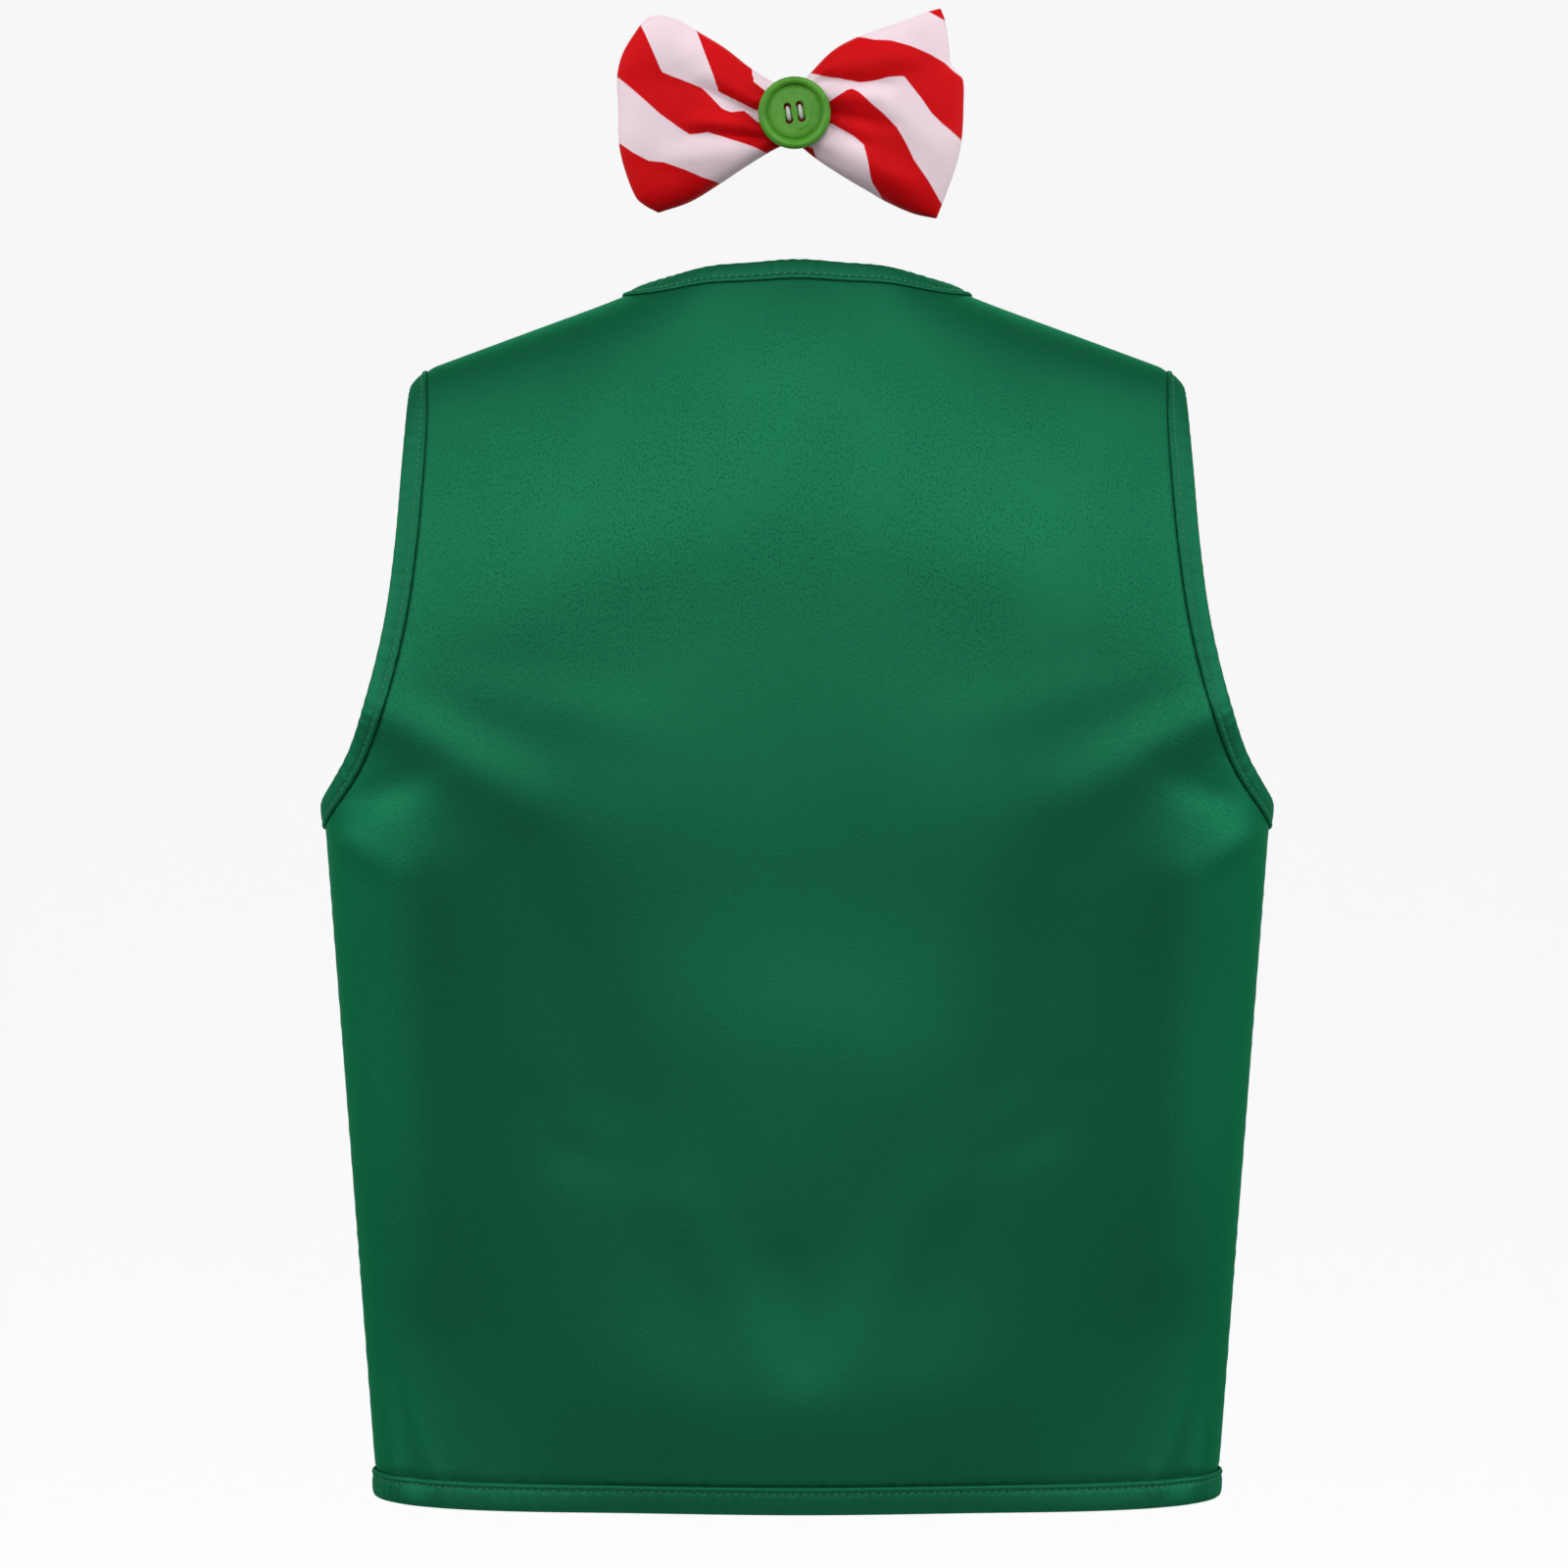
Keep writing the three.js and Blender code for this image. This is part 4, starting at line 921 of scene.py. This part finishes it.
# Where each stripe begins, from the top down: how far out from the middle, how far up from it
stripe_edges = {
    "left": [
        [(0, 8), (8, 5.5), (11, 8.4), (15.2, 11.6), (15.8, 16.6), (17, 30), (60, 60), (80, 80)],
        [(0, 2), (14, 1.6), (27.5, 7.6), (35.7, 29.6), (50, 50), (80, 70)],
        [
            (0, -9), (7, -6.5), (13.9, -3.1), (18.5, 1.1), (23, 0), (26.2, 1.1), (29.3, 4.3), (33.5, 9),
            (48.1, 14.7), (55.8, 32.5), (60, 42), (80, 60),
        ],
        [
            (0, -17), (13, -12.8), (23, -9.9), (31.4, -6.9), (34.6, -7.6), (38, -8.1), (41.9, -5.5),
            (48.7, -0.5), (56.1, 6.3), (64.3, 13.7), (80, 26),
        ],
        [
            (0, -44), (18, -29.5), (27.2, -24.9), (33.5, -23.3), (39.8, -20.6), (47.1, -18), (52.9, -17.3),
            (58.7, -14.1), (63.1, -10.7), (80, 0),
        ],
    ],
    "right": [
        [(0, 70), (40, 44), (49.1, 37), (54.4, 34.1), (80, 20)],
        [
            (0, 60), (14, 33), (23.2, 27.7), (28.7, 26.4), (35, 26.1), (42.3, 24.1), (49.1, 21.5),
            (54.4, 18.6), (57.5, 15.5), (60.9, 13.1), (80, 2),
        ],
        [
            (0, 16), (7.9, 14.2), (16.1, 12.9), (24.5, 10.9), (28.7, 11.6), (33.9, 13), (39.7, 13.4),
            (42.3, 10), (46, 5.3), (49.6, 0), (53.3, -3.6), (56.4, -6), (60.4, -9.3), (80, -24),
        ],
        [
            (0, -3), (13.5, 4.8), (20.3, 8.7), (23.4, 7.4), (27.6, 3.7), (32.9, -0.8), (37.1, -5.2),
            (40.7, -11.5), (43.4, -17.3), (48.6, -24.6), (53.3, -32.5), (60, -44), (80, -60),
        ],
        [
            (0, -4), (13.5, -3.2), (17.6, -5.7), (21.9, -8.4), (25.3, -12), (27.1, -19.4), (28.1, -24.6),
            (31.8, -29.8), (36, -36), (60, -60), (80, -70),
        ],
        [(0, -9.5), (6.9, -12.3), (8.3, -16), (10, -30), (60, -80), (80, -90)],
    ],
}
# Folds of the face, in the same places as the stripes: start, end, half width, height at the start and end
bow_folds = {
    "left": [
        (14.0, -0.5, 34.0, 8.6, 2.4, -2.2, -0.9),
        (14.0, 5.2, 30.0, 13.5, 3.2, 1.2, 0.8),
        (12.0, -5.6, 34.0, -3.6, 3.4, 1.5, 1.3),
        (15.0, -8.6, 37.0, -7.6, 2.3, -1.9, -0.6),
        (16.0, -14.0, 42.0, -17.0, 5.0, 1.0, 1.2),
        (36.0, 20.0, 52.0, 27.0, 8.0, 0.6, 0.9),
        (44.0, 11.0, 60.0, 12.0, 6.0, -0.9, -0.7),
        (46.0, -20.5, 60.0, -18.0, 5.0, -0.8, -0.6),
    ],
    "right": [
        (13.0, 11.8, 33.0, 10.2, 2.4, -1.9, -0.9),
        (12.0, 18.0, 40.0, 19.5, 5.0, 1.0, 1.1),
        (13.0, 6.4, 30.0, 5.0, 3.0, 1.2, 0.7),
        (12.0, 0.6, 34.0, -4.5, 3.0, -1.5, -0.7),
        (12.5, -4.8, 25.0, -11.0, 2.0, -1.9, -0.8),
        (14.0, -12.0, 38.0, -26.0, 5.0, 1.4, 1.2),
        (36.0, 13.0, 56.0, 12.0, 6.0, -0.7, -0.8),
        (30.0, 3.0, 54.0, -13.0, 6.5, 0.9, 0.8),
        (34.0, -24.0, 50.0, -30.0, 5.0, 0.8, 0.5),
    ],
}
# Half depth of a wing at shares of the way out
wing_depths = [(0, 3), (0.1, 3.2), (0.18, 4), (0.28, 6), (0.42, 8.9), (0.6, 10), (0.8, 10.2), (1, 10)]


def line_through(points, shares):
    """Points at even shares of the chord length along a smooth curve through a table of points."""
    table = np.array(points, float)
    chord = run_length(table)
    chord = chord / chord[-1]
    return np.stack([read_rows(list(zip(chord, column)), shares) for column in table.T], axis=-1)


def wing_places(outline, s, t):
    """Places of a wing's grid, out and up, between its top, its bottom, the knot and its outer edge."""
    top, bottom = line_through(outline["top"], s), line_through(outline["bottom"], s)
    knot = np.stack([0 * t, knot_half_height * (1 - 2 * t)], axis=-1)
    return blend_edges(top, bottom, knot, line_through(outline["outer"], t), s, t)


def stripe_phase(edges, out, up):
    """How many stripe edges lie above a place, with the share of the way to the next one. It is below 0
    above the first edge."""
    heights = np.stack([np.interp(out, *np.array(edge, float).T) for edge in edges])
    phase = -np.clip((up - heights[0]) / 12.0, 0.0, 0.9)
    for upper, lower in zip(heights[:-1], heights[1:]):
        phase += np.clip((upper - up) / np.maximum(upper - lower, 0.3), 0.0, 1.0)
    return phase + np.clip((heights[-1] - up) / 12.0, 0.0, 0.9)


out_columns, down_rows = 83, 85
wing_s = np.linspace(0.0, 1.0, out_columns)
wing_s = 0.45 * wing_s + 0.55 * np.sin(wing_s * np.pi / 2)
wing_t = np.linspace(0.0, 1.0, down_rows)
wing_t = 0.5 * wing_t + 0.25 * (1 - np.cos(wing_t * np.pi))
bow_parts, bow_phase, bow_chart = [], [], []
for hand, way in (("left", -1), ("right", 1)):
    places = wing_places(bow_outlines[hand], wing_s, wing_t)
    out, up = places[..., 0], places[..., 1]
    ss, ww = wing_s[None, :], 2 * wing_t[:, None] - 1
    swell = read_rows(wing_depths, wing_s)[None, :] * np.sqrt(1 - ss ** 4) * (1 - ww ** 8) ** 0.5
    held = (1 - ww ** 4) * (1 - ss ** 6)
    gather = 0.35 * np.cos(np.pi * (5.2 * ww + 0.35 * way)) * bell(ss - 0.16, 0.13)
    face = swell * (1 - 0.12 * ww ** 2) + held * (1.35 * crease_height(bow_folds[hand], out, up) + gather)
    rear = swell * (1 - 0.2 * ww ** 2)
    rear += held * 0.9 * np.cos(np.pi * (2.6 * ww + 0.3 * way)) * bell(ss - 0.35, 0.3)
    phase = stripe_phase(stripe_edges[hand], out, up) + (1.0 if hand == "right" else 0.0)
    for layer, depth in ((-1, face), (1, rear)):
        points = np.stack([bow_across + way * out, layer * np.maximum(depth, 0.0), bow_up + up], axis=-1)
        faces = grid_faces(*out.shape)
        if layer * way > 0:
            faces = faces[:, ::-1]
        bow_parts.append((points.reshape(-1, 3), faces))
        bow_phase.append(phase.ravel())
        bow_chart.append(places.reshape(-1, 2)[faces.ravel()])


def as_one(parts):
    """The points and faces of several grids as one mesh: each grid's faces count on from the last ones."""
    firsts = np.cumsum([0] + [len(points) for points, _ in parts])
    faces = [part_faces + first for (_, part_faces), first in zip(parts, firsts)]
    return np.concatenate([points for points, _ in parts]), np.concatenate(faces)


striped, start = new_finish("striped_cloth")
stripe = start.node("ShaderNodeAttribute", {"attribute_name": "stripe"}, output=2)
red_share = (stripe * float(np.pi)).math("SINE").between(-0.05, 0.05)
weave_chart = start.node("ShaderNodeUVMap", {"uv_map": "cloth"})
weave = weave_chart.noise((2600.0, 2600.0, 1.0), 2.0, 0.6)
tone = weave_chart.noise((60.0, 60.0, 1.0), 2.0, 0.5)
mottle = tone * 0.7 + weave * 0.3
white_tone = mottle.tint((0.73, 0.57, 0.63), (0.87, 0.70, 0.765))
red_tone = mottle.tint((0.48, 0.002, 0.004), (0.66, 0.004, 0.007))
finish_with(
    start,
    Base_Color=red_share.tint(white_tone, red_tone),
    Roughness=0.6 + (weave - 0.5) * 0.16,
    Specular_IOR_Level=0.06,
    Normal=weave.bump(0.35, 0.00006),
)
bow_corners, bow_stripe = {"cloth": np.concatenate(bow_chart)}, {"stripe": np.concatenate(bow_phase)}
bow = build_piece("bow_loops", *as_one(bow_parts), striped, bow_corners, bow_stripe)


def weld(piece, distance, turn_outward=False):
    """Joins points of a mesh that lie within a distance, and turns its faces outward where asked."""
    work = bmesh.new()
    work.from_mesh(piece.data)
    bmesh.ops.remove_doubles(work, verts=work.verts, dist=distance * METRE)
    if turn_outward:
        bmesh.ops.recalc_face_normals(work, faces=work.faces)
    work.to_mesh(piece.data)
    work.free()


weld(bow, 0.02)
thicken(bow, cloth_thickness, -1.0)
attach(bow, "root")
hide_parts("bow")

# Wrap. A narrow band of the same cloth, edges turned in, is drawn tight round the bow's middle and sewn
# behind it. The button covers it in front.
wrap_half_width, wrap_half_height, wrap_half_depth, wrap_thickness = 6.1, 11.3, 5.5, 0.5
wrap_rows, wrap_columns = 120, 31
wrap_turn = np.linspace(0.0, 2 * np.pi, wrap_rows + 1)[:-1][:, None]
wrap_over = np.linspace(-1.0, 1.0, wrap_columns)[None, :]
tuck = 0.7 * wrap_over ** 6
ridge = 0.22 * np.cos(9.0 * wrap_over + 1.3 * np.sin(wrap_turn * 2)) * (1 - wrap_over ** 4) - 0.2
squared = 0.62
cos_turn, sin_turn = np.cos(wrap_turn), np.sin(wrap_turn)
wrap_y = -np.sign(cos_turn) * np.abs(cos_turn) ** squared * (wrap_half_depth - tuck + ridge)
wrap_z = np.sign(sin_turn) * np.abs(sin_turn) ** squared * (wrap_half_height - tuck + ridge)
wrap_x = wrap_over * wrap_half_width * np.ones_like(wrap_turn)
wrap_points = np.stack([bow_across + wrap_x, wrap_y, bow_up + wrap_z], axis=-1)
wrap_faces = grid_faces(wrap_rows, wrap_columns, close_rows=True)
wrap_along = np.arange(wrap_rows + 1)[:, None] * 0.45
wrap_chart = np.stack(np.broadcast_arrays(wrap_along, wrap_over * wrap_half_width), axis=-1)
wrap_corners = wrap_chart.reshape(-1, 2)[grid_faces(wrap_rows + 1, wrap_columns).ravel()]
wrap_stripe = (bow_up + wrap_z + 0.5 * wrap_x) / 10.0 + 0.05
wrap = build_piece(
    "bow_wrap_band", wrap_points, wrap_faces, striped, {"cloth": wrap_corners}, {"stripe": wrap_stripe}
)
thicken(wrap, wrap_thickness)
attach(wrap, "root")
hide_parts("bow_wrap")

# Button. Green plastic, moulded, with a fat rounded rim, a groove inside it and four holes in a face that
# is a little domed. It is sewn on slightly turned.
button_back = -6.3
button_tilt = np.radians(9.0)
hole_across, hole_up, hole_radius = 2.25, 2.5, 1.3
patch_radius = 6.6
face_rows = [
    (6.6, 2.72), (8.0, 2.62), (9.0, 2.4), (9.6, 2.0), (9.95, 1.85), (10.3, 2.6), (10.85, 3.3),
    (11.6, 3.6), (12.25, 3.5), (12.8, 3.12), (13.12, 2.6), (13.2, 2.0), (13.15, 1.3), (12.85, 0.65),
    (12.3, 0.15), (11.6, 0.0), (6.6, 0.0),
]


def ray_reach(angle):
    """How far a ray from a hole's middle goes to the edge of its quarter: the nearest of the two middle
    lines and the patch's circle."""
    dx, dz = np.cos(angle), np.sin(angle)
    along = hole_across * dx + hole_up * dz
    circle = -along + np.sqrt(along ** 2 + patch_radius ** 2 - hole_across ** 2 - hole_up ** 2)
    to_up_line = np.where(dx < -1e-9, -hole_across / np.minimum(dx, -1e-9), 1e9)
    to_cross_line = np.where(dz < -1e-9, -hole_up / np.minimum(dz, -1e-9), 1e9)
    return np.minimum(circle, np.minimum(to_up_line, to_cross_line))


corner_angles = [
    np.arctan2(-hole_up, patch_radius - hole_across),
    np.arctan2(patch_radius - hole_up, -hole_across),
    np.arctan2(-hole_up, -hole_across) + 2 * np.pi,
    np.arctan2(-hole_up, patch_radius - hole_across) + 2 * np.pi,
]
arc_rays, side_rays = 20, 10
ray_angle = np.concatenate([
    np.linspace(first, last, rays, endpoint=False)
    for first, last, rays in zip(corner_angles[:-1], corner_angles[1:], (arc_rays, side_rays, side_rays))
])
ray_length = ray_reach(ray_angle)
# The hole's rounded edge: how far beyond its radius, and how far below the face
edge_round = 0.34
edge_drop = [(0.0, -edge_round), (0.05, -0.16), (0.16, -0.05), (edge_round, 0.0)]
ring_shares = [0.25, 0.5, 0.75, 1.0]


def button_face_height(x, z):
    """Height of the face from the back: a shallow dome, pressed in a little between the holes where the
    thread lies."""
    dome = 2.9 - 0.00413 * (x ** 2 + z ** 2)
    between_holes = np.exp(-(((np.abs(x) - hole_across) / 1.2) ** 6) - (z / 2.9) ** 6)
    return dome - 0.75 * between_holes


# Rings of a quarter, each its reach from the hole's middle and its drop: first up the hole's edge and out
# over the face, then back along the rear, where the height is 0
round_start = hole_radius + edge_round
face_rings = [(np.full_like(ray_length, hole_radius + beyond), drop) for beyond, drop in edge_drop]
face_rings += [(round_start + (ray_length - round_start) * share, 0.0) for share in ring_shares]
rear_rings = [hole_radius + (ray_length - hole_radius) * share for share in reversed(ring_shares)]
patch_reach = np.array([face_rings[0][0], *(reach for reach, _ in face_rings), *rear_rings])
patch_x = hole_across + patch_reach * np.cos(ray_angle)
patch_z = hole_up + patch_reach * np.sin(ray_angle)
patch_h = np.zeros_like(patch_x)
face_part = slice(1, 1 + len(face_rings))
face_drops = np.array([drop for _, drop in face_rings])[:, None]
patch_h[face_part] = button_face_height(patch_x[face_part], patch_z[face_part]) + face_drops
patch_faces = grid_faces(*patch_x.shape, close_rows=True, close_columns=True)
button_parts = []
for flip_x in (1, -1):
    for flip_z in (1, -1):
        points = np.stack([flip_x * patch_x, button_back - patch_h, flip_z * patch_z], axis=-1)
        button_parts.append((points.reshape(-1, 3), patch_faces))
# The rim is a turned section, joined to the quarters' outer points
rim_steps = 70
quarter = np.arctan2(patch_z[len(face_rings), :arc_rays + 1], patch_x[len(face_rings), :arc_rays + 1])
rim_angle = np.concatenate([quarter[:-1], np.pi - quarter[:0:-1], np.pi + quarter[:-1], -quarter[:0:-1]])
rim_rows = line_through(face_rows, np.linspace(0.0, 1.0, rim_steps))
rim_rows[0], rim_rows[-1] = face_rows[0], face_rows[-1]
rim_points = np.stack(np.broadcast_arrays(
    rim_rows[:, :1] * np.cos(rim_angle), button_back - rim_rows[:, 1:], rim_rows[:, :1] * np.sin(rim_angle)
), axis=-1)
button_parts.append((rim_points.reshape(-1, 3), grid_faces(rim_steps, len(rim_angle), close_columns=True)))
button_points, button_faces = as_one(button_parts)


def sewn_turn(points):
    """Turns points by the button's small tilt about its own axis and moves them to the bow's middle."""
    x, y, z = np.moveaxis(points, -1, 0)
    across = bow_across + x * np.cos(button_tilt) - z * np.sin(button_tilt)
    up = bow_up + x * np.sin(button_tilt) + z * np.cos(button_tilt)
    return np.stack([across, y, up], axis=-1)


green_plastic, start = new_finish("green_button_plastic")
place = start.node("ShaderNodeTexCoord", output=3)
flow = place.noise((160.0, 160.0, 160.0), 3.0, 0.55)
pores = place.noise((1400.0, 1400.0, 1400.0), 1.0, 0.5)
finish_with(
    start,
    Base_Color=flow.between(0.3, 0.7).tint((0.06, 0.25, 0.015), (0.085, 0.31, 0.024)),
    Roughness=0.4 + pores * 0.1,
    Specular_IOR_Level=0.28,
    Normal=(flow * 0.7 + pores * 0.3).bump(0.25, 0.00012),
)
button = build_piece("green_button", sewn_turn(button_points), button_faces, green_plastic)
weld(button, 0.004, turn_outward=True)
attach(button, "root")
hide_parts("bow_button")

# Button thread. Two stitches of pale grey doubled thread, each up through one hole and down the next, drawn
# tight so that they lie in the hollow between the holes.
pale_thread, start = new_finish("pale_button_thread")
fibre = start.node("ShaderNodeTexCoord", output=3).noise((1500.0, 1500.0, 1500.0), 2.0)
finish_with(start, Base_Color=fibre.tint((0.34, 0.35, 0.33), (0.62, 0.63, 0.60)), Roughness=0.75)
thread_rows = [
    (-2.2, 0.3), (-2.2, 1.1), (-2.05, 1.9), (-1.4, 2.65), (0, 2.95),
    (1.4, 2.65), (2.05, 1.9), (2.2, 1.1), (2.2, 0.3),
]
thread_steps, thread_sides, thread_radius = 81, 24, 0.62
thread_line = line_through(thread_rows, np.linspace(0.0, 1.0, thread_steps))
thread_run = unit(np.gradient(thread_line, axis=0))
thread_round = np.linspace(0.0, 2 * np.pi, thread_sides, endpoint=False)
twist = np.linspace(0.0, 9.0, thread_steps)[:, None]
from_end = np.minimum(np.arange(thread_steps), np.arange(thread_steps)[::-1])
thread_thick = thread_radius * (1 + 0.17 * np.abs(np.cos(1.5 * thread_round[None, :] - twist)))
thread_thick = thread_thick * np.minimum(1.0, 0.02 + from_end)[:, None]
for hand, way in (("left", -1), ("right", 1)):
    outward = thread_thick * np.cos(thread_round)[None, :]
    points = np.stack([
        way * hole_across + thread_thick * np.sin(thread_round)[None, :],
        button_back - thread_line[:, 1:] - outward * thread_run[:, :1],
        thread_line[:, :1] - outward * thread_run[:, 1:],
    ], axis=-1)
    faces = grid_faces(thread_steps, thread_sides, close_columns=True)
    thread = build_piece(f"thread_loop_{hand}", sewn_turn(points), faces, pale_thread)
    weld(thread, 0.03)
    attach(thread, "root")
    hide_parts(f"button_thread_{hand}")
